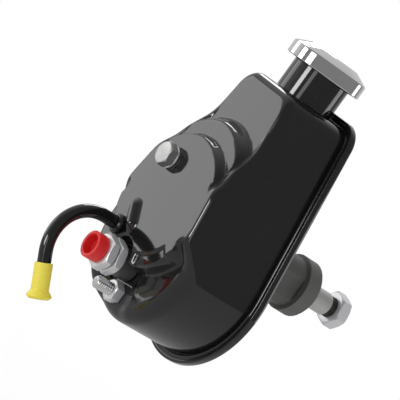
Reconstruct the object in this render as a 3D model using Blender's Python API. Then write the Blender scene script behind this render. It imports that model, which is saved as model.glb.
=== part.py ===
"""Power steering pump with its own pressed steel reservoir, filler neck and cap.

Units are metres and +Z is up, towards the filler cap. The shaft lies along Y:
its threaded nose points to -Y and its end face is the origin. The reservoir's
deep-drawn rear, with the ports, faces +Y.
"""
import math

import bmesh
import bpy
from mathutils import Matrix, Vector

# Clearances
GAP = 0.0003
RUNNING_GAP = 0.0004

# Stations along the shaft, measured from its nose
NUT_START = 0.0010
NUT_THICKNESS = 0.0095
NUT_FLATS = 0.0238
THREAD_RADIUS = 0.0078
THREAD_LENGTH = 0.0160
SHAFT_RADIUS = 0.0085
HUB_FRONT = 0.0400
FLANGE_PLANE = 0.1060

# Reservoir outline, seen from behind, heights from the shaft axis
CAN_BOTTOM_RADIUS = 0.0570
CAN_BOTTOM_DROP = 0.0266
CAN_TOP_HEIGHT = 0.1085
CAN_CORNER_OFFSET = 0.0204
CAN_CORNER_RADIUS = 0.0120
SHEET = 0.0020
WALL_FILLET = 0.0075
TIGHT_FILLET = 0.0042
BOTTOM_FILLET = 0.0110
LIP_WIDTH = 0.0046
LIP_ROOT = 0.0015

# Drawn steps of the reservoir's rear, depths from the flange plane
REAR_FACE_DEPTH = 0.0588
CRESCENT_DEPTH = 0.0620
FAR_FACE_DEPTH = 0.0680
DOME_HEIGHT = 0.0195
DOME_TOP_RADIUS = 0.0470
DOME_BASE_RADIUS = 0.0534
PLATEAU_DEPTH = 0.0748
PLATEAU_RISE = 0.0063
DOME_DEPTH = PLATEAU_DEPTH - PLATEAU_RISE
PLATEAU_HEIGHT = 0.0025
PLATEAU_RADIUS = 0.0485
PLATEAU_STEP = 0.0032
POCKET_RADIUS = 0.0180
POCKET_SIDE = 0.0034
POCKET_FAR_SIDE = 0.0022
EDGE_BLEND = 0.0080
EDGE_BLEND_TURN = math.radians(12.0)
STEEP_TOP_SHARE = 0.3
NEAR_SIDE = (97.0, 176.0, 12.0)
FAR_SIDE = (4.0, 82.0, 6.0)
STUD_SIDE = (68.0, 112.0, 8.0)

# Ports and fasteners on the rear
UNION_X = 0.0060
UNION_Z = -0.0495
UNION_FLATS = 0.0238
UNION_COLLAR_RADIUS = 0.0108
UNION_COLLAR = 0.0140
UNION_INNER_HEX = 0.0067
UNION_GROOVE = 0.0010
UNION_OUTER_HEX = 0.0065
UNION_TURN = math.radians(13.0)
UNION_SHANK_RADIUS = 0.0080
UNION_SHANK_LENGTH = 0.0090
UNION_BORE_RADIUS = 0.0042
STUD_X = 0.0010
STUD_Z = -0.0685
STUD_RADIUS = 0.0047
STUD_LENGTH = 0.0205
STUD_NUT_FLATS = 0.0143
STUD_NUT_THICKNESS = 0.0070
STUD_NUT_TURN = math.radians(30.0)
BOLT_X = 0.0200
BOLT_Z = 0.0270
BOLT_FLATS = 0.0158
BOLT_HEAD = 0.0062
BOLT_SHANK_RADIUS = 0.0047
BOLT_LENGTH = 0.0180
WASHER_THICKNESS = 0.0015
SEAL_RECESS = 0.0018
SEAL_SEAT_OUTER = 0.0106

# Return tube
TUBE_X = 0.0243
TUBE_Z = -0.0312
TUBE_RADIUS = 0.00476
TUBE_WALL = 0.0010
TUBE_STRAIGHT = 0.0141
TUBE_BEND_RADIUS = 0.0315
TUBE_BEND_ANGLE = math.radians(109.0)
TUBE_TILT = math.radians(20.0)
TUBE_TAIL = 0.0240
TUBE_INNER_CLEARANCE = 0.0013
COLLAR_RADIUS = 0.0072
COLLAR_LENGTH = 0.0045

# Raised rib on the plateau, beside the tube
RIB_X = 0.0160
RIB_Z = -0.0185
RIB_LENGTH = 0.0200
RIB_RADIUS = 0.0050
RIB_RISE = 0.0038
RIB_TURN = math.radians(36.0)

# Plastic caps
PLUG_RADIUS = 0.00975
PLUG_LENGTH = 0.0092
PLUG_CUP_RADIUS = 0.0072
PLUG_CUP_DEPTH = 0.0068
PLUG_STEM_LENGTH = 0.0060
SLEEVE_WALL = 0.0011
SLEEVE_LENGTH = 0.0245
SLEEVE_FLANGE_RADIUS = 0.0085
SLEEVE_FLANGE = 0.0060
SLEEVE_COVER = 0.0170

# Filler neck and cap
NECK_DEPTH = 0.0280
NECK_RADIUS = 0.0215
NECK_WALL = 0.0015
NECK_HEIGHT = 0.0255
NECK_TOP = CAN_TOP_HEIGHT + NECK_HEIGHT
NECK_MOUTH_RADIUS = 0.0165
CAP_HALF_LENGTH = 0.0290
CAP_SIDE_CLEARANCE = 0.0004
CAP_OVERLAP = 0.0034
CAP_SKIRT_BOTTOM = NECK_TOP - CAP_OVERLAP
CAP_SKIRT_HEIGHT = 0.0098
CAP_RISE = 0.0050
CAP_CHAMFER = 0.0105
CAP_SHEET = 0.0012
CAP_HALF_WIDTH = NECK_RADIUS + CAP_SIDE_CLEARANCE + CAP_SHEET
CAP_HUB_RADIUS = 0.0085
CAP_RIVET_RADIUS = 0.0030
CAP_LONG_AXIS = math.radians(55.0)
LOCK_PLATE_THICKNESS = 0.0014
LOCK_PLATE_RADIUS = 0.0150
LOCK_TAB_RADIUS = 0.0186
LOCK_TAB_HALF_WIDTH = 0.0045
DIPSTICK_LENGTH = 0.0580
DIPSTICK_RADIUS = 0.0030
GASKET_THICKNESS = 0.0020

# Cast housing
HUB_RADIUS = 0.0215
HUB_LENGTH = 0.0140
HUB_CHAMFER = 0.0025
HUB_NECK_RADIUS = 0.0188
HUB_FLAT_OFFSET = 0.0165
DISC_RADIUS = 0.0475
DISC_FRONT = 0.0060
DISC_BACK = 0.0070
BODY_RADIUS = 0.0430
BODY_TO_PLATEAU = 0.0068
BODY_END = PLATEAU_DEPTH - BODY_TO_PLATEAU
PAD_CIRCLE = 0.0370
PAD_RADIUS = 0.0082
PAD_RISE = 0.0050
PAD_HOLE_RADIUS = 0.0044
PAD_HOLE_DEPTH = 0.0140
SEAL_SEAT_RADIUS = 0.0150
SEAL_SEAT_DEPTH = 0.0075
BUSHING_OUTER_RADIUS = 0.0108
BUSHING_LENGTH = 0.0300
LOBE_RADIUS = 0.0135
LOBE_CLEARANCE = 0.0008
LOBE_END = REAR_FACE_DEPTH - SHEET - LOBE_CLEARANCE
LOBE_START = 0.0080
POCKET_CLEARANCE = 0.0013
STUD_LOBE_RADIUS = 0.0072
STUD_ENGAGEMENT = 0.0160
STUD_HOLE_SPARE = 0.0020

# Rotating group and what stacks against it
BORE_RADIUS = 0.0275
BORE_DEPTH = 0.0500
BORE_START = BODY_END - BORE_DEPTH
THRUST_PLATE = 0.0050
CAM_WIDTH = 0.0160
CAM_BORE_MINOR = 0.0190
CAM_BORE_MAJOR = 0.0208
ROTOR_RADIUS = 0.0184
VANE_COUNT = 10
VANE_THICKNESS = 0.0018
VANE_HEIGHT = 0.0070
SLOT_DEPTH = 0.0078
PRESSURE_PLATE = 0.0080
PIN_RADIUS = 0.0022
PIN_CIRCLE = 0.0238
PLATE_SPRING_LENGTH = 0.0055
PLATE_SPRING_RADIUS = 0.0180
PLATE_SPRING_WIRE = 0.0011
END_PLATE = 0.0070
RING_THICKNESS = 0.0016
RING_DEPTH = 0.0018
SNAP_RING_THICKNESS = 0.0012

# Flow control valve
VALVE_BORE_RADIUS = 0.0082
VALVE_BORE_DEPTH = 0.0420
VALVE_BORE_START = LOBE_END - VALVE_BORE_DEPTH
SPOOL_RADIUS = 0.0079
SPOOL_LENGTH = 0.0180
SPOOL_CAVITY_RADIUS = 0.0036
SPOOL_CAVITY_DEPTH = 0.0130
VALVE_SPRING_RADIUS = 0.0058
VALVE_SPRING_WIRE = 0.0008
MAGNET_SIZE = 0.0100
MAGNET_THICKNESS = 0.0022

FINE = 32
MEDIUM = 20
COARSE = 12
CAM_POINTS = 36
INNER_ARC_COUNT = 2
AXIS_Y = (math.radians(-90.0), 0.0, 0.0)


def clear_scene():
    """Start from an empty scene."""
    for item in list(bpy.data.objects):
        bpy.data.objects.remove(item, do_unlink=True)


def material(name, colour, roughness, metallic):
    """Make a plain Principled finish."""
    made = bpy.data.materials.new(name)
    made.use_nodes = True
    shader = made.node_tree.nodes["Principled BSDF"]
    shader.inputs["Base Color"].default_value = (*colour, 1.0)
    shader.inputs["Roughness"].default_value = roughness
    shader.inputs["Metallic"].default_value = metallic
    return made


class Finish:
    """The pump's finishes, made once."""

    def __init__(self):
        self.enamel = material("black_enamel", (0.012, 0.012, 0.013), 0.12, 0.0)
        self.casting = material("cast_iron", (0.07, 0.07, 0.068), 0.55, 0.6)
        self.chrome = material("chrome", (0.80, 0.80, 0.80), 0.06, 1.0)
        self.zinc = material("bright_zinc", (0.68, 0.69, 0.70), 0.28, 1.0)
        self.steel = material("ground_steel", (0.56, 0.56, 0.56), 0.25, 1.0)
        self.spring = material("spring_steel", (0.25, 0.25, 0.26), 0.35, 1.0)
        self.bronze = material("bushing_bronze", (0.46, 0.30, 0.14), 0.40, 1.0)
        self.rubber = material("black_rubber", (0.015, 0.015, 0.015), 0.70, 0.0)
        self.red = material("red_plastic", (0.70, 0.012, 0.012), 0.40, 0.0)
        self.yellow = material("yellow_plastic", (0.76, 0.66, 0.05), 0.45, 0.0)


def finish_mesh(name, mesh_data, finish, location=(0, 0, 0), rotation=(0, 0, 0)):
    """Turn a bmesh into a named, smooth-shaded object with one finish."""
    bmesh.ops.recalc_face_normals(mesh_data, faces=mesh_data.faces)
    mesh = bpy.data.meshes.new(name)
    mesh_data.to_mesh(mesh)
    mesh_data.free()
    mesh.shade_smooth()
    mesh.set_sharp_from_angle(angle=math.radians(32.0))
    mesh.materials.append(finish)
    made = bpy.data.objects.new(name, mesh)
    made.location = location
    made.rotation_euler = rotation
    bpy.context.collection.objects.link(made)
    return made


def turned_mesh(profile, steps=MEDIUM, closed=True):
    """Spin a profile of (radius, height) points about local Z."""
    shape = bmesh.new()
    verts = [shape.verts.new((radius, 0.0, height)) for radius, height in profile]
    pairs = list(zip(verts, verts[1:]))
    if closed:
        pairs.append((verts[-1], verts[0]))
    edges = [shape.edges.new(pair) for pair in pairs]
    bmesh.ops.spin(shape, geom=verts + edges, axis=(0, 0, 1), cent=(0, 0, 0),
                   angle=math.tau, steps=steps, use_merge=True)
    bmesh.ops.remove_doubles(shape, verts=shape.verts, dist=1e-6)
    return shape


def turned(name, profile, finish, place, steps=MEDIUM, closed=True, rotation=AXIS_Y):
    """Make a turned piece; heights run along +Y unless another rotation is given."""
    return finish_mesh(name, turned_mesh(profile, steps, closed), finish, place, rotation)


def solid_profile(radius, start, end, chamfer=0.0):
    """Profile of a solid round bar from start to end, with chamfered rims."""
    if chamfer == 0.0:
        return [(0.0, start), (radius, start), (radius, end), (0.0, end)]
    return [(0.0, start), (radius - chamfer, start), (radius, start + chamfer),
            (radius, end - chamfer), (radius - chamfer, end), (0.0, end)]


def ring_profile(inner, outer, start, end):
    """Profile of a plain ring."""
    return [(inner, start), (outer, start), (outer, end), (inner, end)]


def round_section(centre_radius, centre_height, radius, count=6):
    """Round section of an O-ring."""
    return [(centre_radius + radius * math.cos(k * math.tau / count),
             centre_height + radius * math.sin(k * math.tau / count))
            for k in range(count)]


def cutter(name, shape, location=(0, 0, 0), rotation=(0, 0, 0)):
    """Make a guide object for a Boolean, left out of the model."""
    bmesh.ops.recalc_face_normals(shape, faces=shape.faces)
    mesh = bpy.data.meshes.new(name)
    shape.to_mesh(mesh)
    shape.free()
    made = bpy.data.objects.new(name, mesh)
    made.location = location
    made.rotation_euler = rotation
    made.hide_render = True
    made.display_type = 'WIRE'
    bpy.context.collection.objects.link(made)
    return made


def combine(target, tool, operation):
    """Add an exact Boolean of the tool to the target."""
    step = target.modifiers.new(tool.name, 'BOOLEAN')
    step.operation = operation
    step.solver = 'EXACT'
    step.object = tool


def weld(target):
    """Merge the sliver points that a run of Booleans leaves."""
    step = target.modifiers.new("weld", 'WELD')
    step.merge_threshold = 0.00001


def drill(target, radius, start, end, x, z, steps=COARSE):
    """Cut a round hole along Y."""
    shape = turned_mesh(solid_profile(radius, start, end), steps, closed=False)
    combine(target, cutter("cut_" + target.name, shape, (x, 0.0, z), AXIS_Y), 'DIFFERENCE')


def hexagon_radius(flats):
    """Corner radius of a hexagon from its width across flats."""
    return flats / math.sqrt(3.0)


def prism(shape, outline, start, end):
    """Extrude a closed outline of (x, z) points from start to end along Y."""
    lower = [shape.verts.new((x, start, z)) for x, z in outline]
    upper = [shape.verts.new((x, end, z)) for x, z in outline]
    count = len(outline)
    shape.faces.new(lower)
    shape.faces.new(upper)
    for k in range(count):
        after = (k + 1) % count
        shape.faces.new((lower[k], lower[after], upper[after], upper[k]))


def hexagon(flats, turn=0.0):
    """Corners of a hexagon in the XZ plane."""
    radius = hexagon_radius(flats)
    return [(radius * math.cos(turn + k * math.tau / 6),
             radius * math.sin(turn + k * math.tau / 6)) for k in range(6)]


def crowned_hex(name, flats, start, end, finish, place, turn=0.0, bore=0.0,
                crown_start=True, crown_end=True):
    """A hexagon whose corners are turned off at its ends, as on a real nut."""
    shape = bmesh.new()
    prism(shape, hexagon(flats, turn), start, end)
    made = finish_mesh(name, shape, finish, place)
    corner = hexagon_radius(flats)
    land = flats * 0.5 * 0.97
    fall = (corner - land) * math.tan(math.radians(30.0))
    profile = [(0.0, start)]
    profile += [(land, start), (corner * 1.01, start + fall)] if crown_start else [
        (corner * 1.01, start)]
    profile += [(corner * 1.01, end - fall), (land, end)] if crown_end else [
        (corner * 1.01, end)]
    profile.append((0.0, end))
    crown = turned_mesh(profile, MEDIUM, closed=False)
    combine(made, cutter("crown_" + name, crown, place, AXIS_Y), 'INTERSECT')
    if bore > 0.0:
        span = end - start
        hole = turned_mesh(solid_profile(bore, start - span, end + span), MEDIUM, closed=False)
        combine(made, cutter("bore_" + name, hole, place, AXIS_Y), 'DIFFERENCE')
    return made


def outline_radius(angle, inset):
    """Distance from the plateau's centre to the can's outline, moved in by inset.

    The outline is the hull of the round bottom and the two top corners, so each
    tangent line of the hull bounds the distance.
    """
    circles = [(0.0, -CAN_BOTTOM_DROP, CAN_BOTTOM_RADIUS),
               (CAN_CORNER_OFFSET, CAN_TOP_HEIGHT - CAN_CORNER_RADIUS, CAN_CORNER_RADIUS),
               (-CAN_CORNER_OFFSET, CAN_TOP_HEIGHT - CAN_CORNER_RADIUS, CAN_CORNER_RADIUS)]
    nearest = 1.0
    for k in range(720):
        normal = k * math.tau / 720
        facing = math.cos(angle - normal)
        if facing < 0.05:
            continue
        reach = max(x * math.cos(normal) + (z - PLATEAU_HEIGHT) * math.sin(normal) + r
                    for x, z, r in circles)
        nearest = min(nearest, (reach - inset) / facing)
    return nearest


def circle_radius(angle, height, radius):
    """Distance from the plateau's centre to a circle centred higher on the same line."""
    rise = height - PLATEAU_HEIGHT
    along = rise * math.sin(angle)
    return along + math.sqrt(radius ** 2 - (rise * math.cos(angle)) ** 2)


def pocket_offsets(angle):
    """How far the union's axis lies along a ray and across it."""
    dx = UNION_X
    dz = UNION_Z - PLATEAU_HEIGHT
    along = dx * math.cos(angle) + dz * math.sin(angle)
    across = dx * math.sin(angle) - dz * math.cos(angle)
    return along, across


def pocket_limit(angle):
    """Distance at which a ray meets the pocket round the pressure union."""
    along, across = pocket_offsets(angle)
    if along < 0.0 or abs(across) >= POCKET_RADIUS:
        return 1.0
    return along - math.sqrt(POCKET_RADIUS ** 2 - across ** 2)


def pocket_end(angle, radius):
    """Distance at which a ray leaves a circle round the pressure union."""
    along, across = pocket_offsets(angle)
    if along < 0.0 or abs(across) >= radius:
        return 0.0
    return along + math.sqrt(radius ** 2 - across ** 2)


def pocket_share(angle):
    """How fully a ray crosses the pocket, from 0 beside it to 1 at its middle."""
    along, across = pocket_offsets(angle)
    if along < 0.0:
        return 0.0
    return ease(2.0 * (1.0 - abs(across) / POCKET_RADIUS))


def ease(value):
    """Smooth step from 0 to 1."""
    value = min(max(value, 0.0), 1.0)
    return value * value * (3.0 - 2.0 * value)


def window(angle, side):
    """Rise from 0 to 1 over one side, given as its start, end and ramp in degrees below +X."""
    start, end, ramp = side
    below = -math.degrees(math.atan2(math.sin(angle), math.cos(angle)))
    return ease((below - start) / ramp) * ease((end - below) / ramp)


class CanRay:
    """One ray of the reservoir's rear, from the plateau's centre to the wall."""

    def __init__(self, angle):
        self.angle = angle
        self.near = window(angle, NEAR_SIDE)
        self.far = window(angle, FAR_SIDE)
        self.base = (REAR_FACE_DEPTH + (CRESCENT_DEPTH - REAR_FACE_DEPTH) * self.near
                     + (FAR_FACE_DEPTH - REAR_FACE_DEPTH) * self.far)
        self.wall = outline_radius(angle, 0.0)
        self.plateau_top = min(PLATEAU_RADIUS, pocket_limit(angle))
        self.plateau_base = self.plateau_top + PLATEAU_STEP
        dome_top = circle_radius(angle, DOME_HEIGHT, DOME_TOP_RADIUS)
        dome_base = circle_radius(angle, DOME_HEIGHT, DOME_BASE_RADIUS)
        self.dome_top = max(dome_top, self.plateau_base)
        self.dome_base = max(dome_base, self.dome_top + PLATEAU_STEP)
        steep = pocket_share(angle)
        steep_top = self.plateau_top + POCKET_SIDE * STEEP_TOP_SHARE
        self.plateau_base += (steep_top - self.plateau_base) * steep
        self.dome_top += (steep_top - self.dome_top) * steep
        self.dome_base += (self.plateau_top + POCKET_SIDE - self.dome_base) * steep
        room = self.wall - self.plateau_top
        largest = WALL_FILLET + (BOTTOM_FILLET - WALL_FILLET) * self.near
        self.fillet = min(max(room, TIGHT_FILLET), largest)
        self.edge = self.wall - self.fillet
        self.pocket_foot = max(pocket_end(angle, POCKET_RADIUS - POCKET_FAR_SIDE), self.dome_base)
        self.pocket_end = max(pocket_end(angle, POCKET_RADIUS), self.dome_base)
        self.lift = 0.0

    def floor(self, radius):
        """Depth of the level outside the dome, sunk round the pressure union."""
        along, across = pocket_offsets(self.angle)
        gap = math.hypot(radius - along, across)
        sunk = ease((POCKET_RADIUS - gap) / POCKET_FAR_SIDE)
        return self.base + (REAR_FACE_DEPTH - self.base) * sunk

    def height(self, radius):
        """Depth of the drawn face behind the flange plane at a radius."""
        dome_run = self.dome_base - self.dome_top
        plateau_run = self.plateau_base - self.plateau_top
        dome = ease((self.dome_base - radius) / dome_run)
        plateau = ease((self.plateau_base - radius) / plateau_run)
        low = self.floor(radius)
        blend = ease((radius - self.edge) / EDGE_BLEND + 1.0)
        return (low + (DOME_DEPTH - low) * dome + (PLATEAU_DEPTH - DOME_DEPTH) * plateau
                + self.lift * blend)

    def blend_edge(self):
        """Lift the wall's edge to the mean of its neighbours, away from the stud."""
        weights = 0.0
        total = 0.0
        for k in range(-4, 5):
            weight = 1.0 + math.cos(math.pi * k / 5)
            side = CanRay(self.angle + EDGE_BLEND_TURN * k / 4)
            total += weight * side.height(side.edge)
            weights += weight
        clear = 1.0 - window(self.angle, STUD_SIDE)
        self.lift = (total / weights - self.height(self.edge)) * clear

    def stations(self, samples):
        """Radii of the rings inside the wall's fillet, outermost first."""
        run = [self.edge - EDGE_BLEND * 0.3, self.edge - EDGE_BLEND * 0.7]
        if self.far > 0.0:
            run = [self.pocket_end, self.pocket_foot]
        run += [self.dome_base - (self.dome_base - self.dome_top) * k / samples
                for k in range(samples + 1)]
        run += [self.plateau_base - (self.plateau_base - self.plateau_top) * k / samples
                for k in range(samples + 1)]
        limit = self.edge
        placed = []
        for radius in run:
            limit = min(radius, limit - 0.00015)
            placed.append(limit)
        return placed

    def inner_shift(self, index, arc):
        """Radial step to the sheet's inner face, outwards behind the pocket's far wall."""
        if self.far > 0.0 and arc < index <= arc + 2:
            return SHEET
        return -SHEET

    def profile(self, samples, arc):
        """Outer profile of the drawn face as (radius, depth), wall edge first."""
        top = self.height(self.edge)
        points = [(self.edge + self.fillet * math.cos(math.radians(90.0 * k / arc)),
                   top - self.fillet + self.fillet * math.sin(math.radians(90.0 * k / arc)))
                  for k in range(arc + 1)]
        points += [(radius, self.height(radius)) for radius in self.stations(samples)]
        return points


def can_angles():
    """Angles of the rays: even, with more across the corners and the pocket."""
    angles = {8 * k for k in range(45)}
    angles |= {60 + 4 * k for k in range(16)}
    angles |= {252 + 4 * k for k in range(12)}
    return [math.radians(a) for a in sorted(angles)]


def ring_verts(shape, rays, radii, depths):
    """One closed ring of vertices about the plateau's centre."""
    return [shape.verts.new((radius * math.cos(ray.angle), FLANGE_PLANE + depth,
                             PLATEAU_HEIGHT + radius * math.sin(ray.angle)))
            for ray, radius, depth in zip(rays, radii, depths)]


def join_rings(shape, first, second):
    """Bridge two rings of equal count."""
    count = len(first)
    for k in range(count):
        after = (k + 1) % count
        shape.faces.new((first[k], first[after], second[after], second[k]))


def close_ring(shape, ring, depth):
    """Close a ring with a fan to the plateau's centre."""
    centre = shape.verts.new((0.0, FLANGE_PLANE + depth, PLATEAU_HEIGHT))
    count = len(ring)
    for k in range(count):
        shape.faces.new((ring[k], ring[(k + 1) % count], centre))


def build_reservoir(finish):
    """Deep-drawn steel can: lip, wall, rear face, dome and plateau in one sheet."""
    rays = [CanRay(angle) for angle in can_angles()]
    for ray in rays:
        ray.blend_edge()
    shape = bmesh.new()
    lip = [outline_radius(ray.angle, -LIP_WIDTH) for ray in rays]
    root = [outline_radius(ray.angle, -LIP_ROOT) for ray in rays]
    wall = [ray.wall for ray in rays]
    inner = [outline_radius(ray.angle, SHEET) for ray in rays]
    count = len(rays)
    outer_profiles = [ray.profile(3, 3) for ray in rays]
    inner_profiles = [ray.profile(1, INNER_ARC_COUNT) for ray in rays]

    def flat(value):
        return [value] * count

    rings = [ring_verts(shape, rays, inner, flat(0.0)),
             ring_verts(shape, rays, lip, flat(0.0)),
             ring_verts(shape, rays, lip, flat(SHEET)),
             ring_verts(shape, rays, root, flat(SHEET)),
             ring_verts(shape, rays, wall, flat(SHEET + LIP_ROOT))]
    for k in range(len(outer_profiles[0])):
        rings.append(ring_verts(shape, rays, [p[k][0] for p in outer_profiles],
                                [p[k][1] for p in outer_profiles]))
    for before, after in zip(rings, rings[1:]):
        join_rings(shape, before, after)
    close_ring(shape, rings[-1], PLATEAU_DEPTH)

    inside = [rings[0]]
    for k in range(len(inner_profiles[0])):
        inside.append(ring_verts(shape, rays,
                                 [p[k][0] + ray.inner_shift(k, INNER_ARC_COUNT)
                                  for ray, p in zip(rays, inner_profiles)],
                                 [p[k][1] - SHEET for p in inner_profiles]))
    for before, after in zip(inside, inside[1:]):
        join_rings(shape, before, after)
    close_ring(shape, inside[-1], PLATEAU_DEPTH - SHEET)
    can = finish_mesh("reservoir_can", shape, finish)

    rib = bmesh.new()
    bmesh.ops.create_uvsphere(rib, u_segments=14, v_segments=8, radius=RIB_RADIUS)
    half = (RIB_LENGTH - 2 * RIB_RADIUS) * 0.5
    for vert in rib.verts:
        vert.co.z += half if vert.co.z > 0.0 else -half
        vert.co.y = max(vert.co.y * 1.25, 1.25 * RIB_RADIUS - RIB_RISE - SHEET * 0.5)
    place = (RIB_X, FLANGE_PLANE + PLATEAU_DEPTH + RIB_RISE - 1.25 * RIB_RADIUS, RIB_Z)
    combine(can, cutter("rib_form", rib, place, (0.0, RIB_TURN, 0.0)), 'UNION')

    rear = FLANGE_PLANE + REAR_FACE_DEPTH
    top = FLANGE_PLANE + PLATEAU_DEPTH
    drill(can, UNION_SHANK_RADIUS + 0.0010, rear - 0.010, rear + 0.010, UNION_X, UNION_Z)
    drill(can, STUD_RADIUS + GAP, rear - 0.010, rear + 0.010, STUD_X, STUD_Z)
    drill(can, BOLT_SHANK_RADIUS + GAP, top - 0.010, top + 0.010, BOLT_X, BOLT_Z)
    drill(can, TUBE_RADIUS + GAP, top - 0.010, top + 0.010, TUBE_X, TUBE_Z)
    mouth = turned_mesh(solid_profile(NECK_RADIUS - NECK_WALL, CAN_TOP_HEIGHT - 0.008,
                                      CAN_TOP_HEIGHT + 0.008), FINE, closed=False)
    combine(can, cutter("neck_opening", mouth, (0.0, FLANGE_PLANE + NECK_DEPTH, 0.0)),
            'DIFFERENCE')
    weld(can)
    return can


def build_front_plate(finish):
    """Flat front stamping whose edge is folded round the can's lip."""
    rays = [CanRay(angle) for angle in can_angles()]
    fold = LIP_WIDTH + GAP + SHEET * 0.6
    back = SHEET + GAP
    sections = [(None, -GAP), (-(LIP_WIDTH + GAP), -GAP), (-(LIP_WIDTH + GAP), back),
                (-(LIP_WIDTH - 0.0012), back), (-(LIP_WIDTH - 0.0012), back + SHEET * 0.6),
                (-(fold - 0.0004), back + SHEET * 0.6),
                (-fold, -GAP - SHEET * 0.5), (-(fold - 0.0008), -GAP - SHEET),
                (None, -GAP - SHEET)]
    hole = DISC_RADIUS + GAP
    shape = bmesh.new()
    rings = []
    for inset, depth in sections:
        radii = [circle_radius(ray.angle, 0.0, hole) if inset is None
                 else outline_radius(ray.angle, inset) for ray in rays]
        rings.append(ring_verts(shape, rays, radii, [depth] * len(rays)))
    for before, after in zip(rings, rings[1:] + rings[:1]):
        join_rings(shape, before, after)
    return finish_mesh("reservoir_front_plate", shape, finish)


def build_neck(finish):
    """Filler tube brazed on the can's top, with an inturned mouth for the cap."""
    base = CAN_TOP_HEIGHT + GAP
    inner = NECK_RADIUS - NECK_WALL
    profile = [(inner, base), (NECK_RADIUS, base), (NECK_RADIUS, NECK_TOP - 0.0012),
               (NECK_RADIUS - 0.0012, NECK_TOP), (NECK_MOUTH_RADIUS, NECK_TOP),
               (NECK_MOUTH_RADIUS, NECK_TOP - NECK_WALL), (inner, NECK_TOP - NECK_WALL)]
    neck = turned("filler_neck", profile, finish, (0.0, FLANGE_PLANE + NECK_DEPTH, 0.0),
                  FINE, rotation=(0, 0, 0))
    notch = bmesh.new()
    bmesh.ops.create_cube(notch, size=1.0)
    width = 2 * (LOCK_TAB_HALF_WIDTH + 0.0012)
    bmesh.ops.scale(notch, vec=(2 * (LOCK_TAB_RADIUS + 0.0008), width, 0.008),
                    verts=notch.verts)
    place = (0.0, FLANGE_PLANE + NECK_DEPTH, NECK_TOP)
    combine(neck, cutter("bayonet_notch", notch, place), 'DIFFERENCE')
    return neck


def cap_outline(inset):
    """Outline of the cap seen from above: round ends and two straight flats."""
    radius = CAP_HALF_LENGTH - inset
    flat = CAP_HALF_WIDTH - inset
    corner = math.asin(min(flat / radius, 1.0))
    points = []
    for k in range(13):
        angle = -corner + 2 * corner * k / 12
        points.append((radius * math.cos(angle), radius * math.sin(angle)))
    points += [(-x, -y) for x, y in points]
    return points


def loft_outlines(shape, levels):
    """Bridge a stack of equal outlines given as (points, z)."""
    rings = [[shape.verts.new((x, y, z)) for x, y in points] for points, z in levels]
    for before, after in zip(rings, rings[1:]):
        join_rings(shape, before, after)
    return rings


def build_cap(finish):
    """Pressed cap: grip flats, skirt, sloping shoulders and a flat crown."""
    top = CAP_SKIRT_HEIGHT + CAP_RISE
    shape = bmesh.new()
    outer = [(cap_outline(0.0006), 0.0), (cap_outline(0.0), 0.0008),
             (cap_outline(0.0), CAP_SKIRT_HEIGHT - 0.0006),
             (cap_outline(0.0006), CAP_SKIRT_HEIGHT),
             (cap_outline(CAP_CHAMFER - 0.0012), top - 0.0005),
             (cap_outline(CAP_CHAMFER), top)]
    rings = loft_outlines(shape, outer)
    shape.faces.new(rings[-1])
    inner = [(cap_outline(CAP_SHEET), 0.0),
             (cap_outline(CAP_SHEET), CAP_SKIRT_HEIGHT - CAP_SHEET * 0.6),
             (cap_outline(CAP_CHAMFER + CAP_SHEET * 0.4), top - CAP_SHEET)]
    under = loft_outlines(shape, inner)
    shape.faces.new(under[-1])
    join_rings(shape, rings[0], under[0])
    place = (0.0, FLANGE_PLANE + NECK_DEPTH, CAP_SKIRT_BOTTOM)
    cap = finish_mesh("filler_cap", shape, finish, place, (0.0, 0.0, CAP_LONG_AXIS))
    return cap


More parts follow.
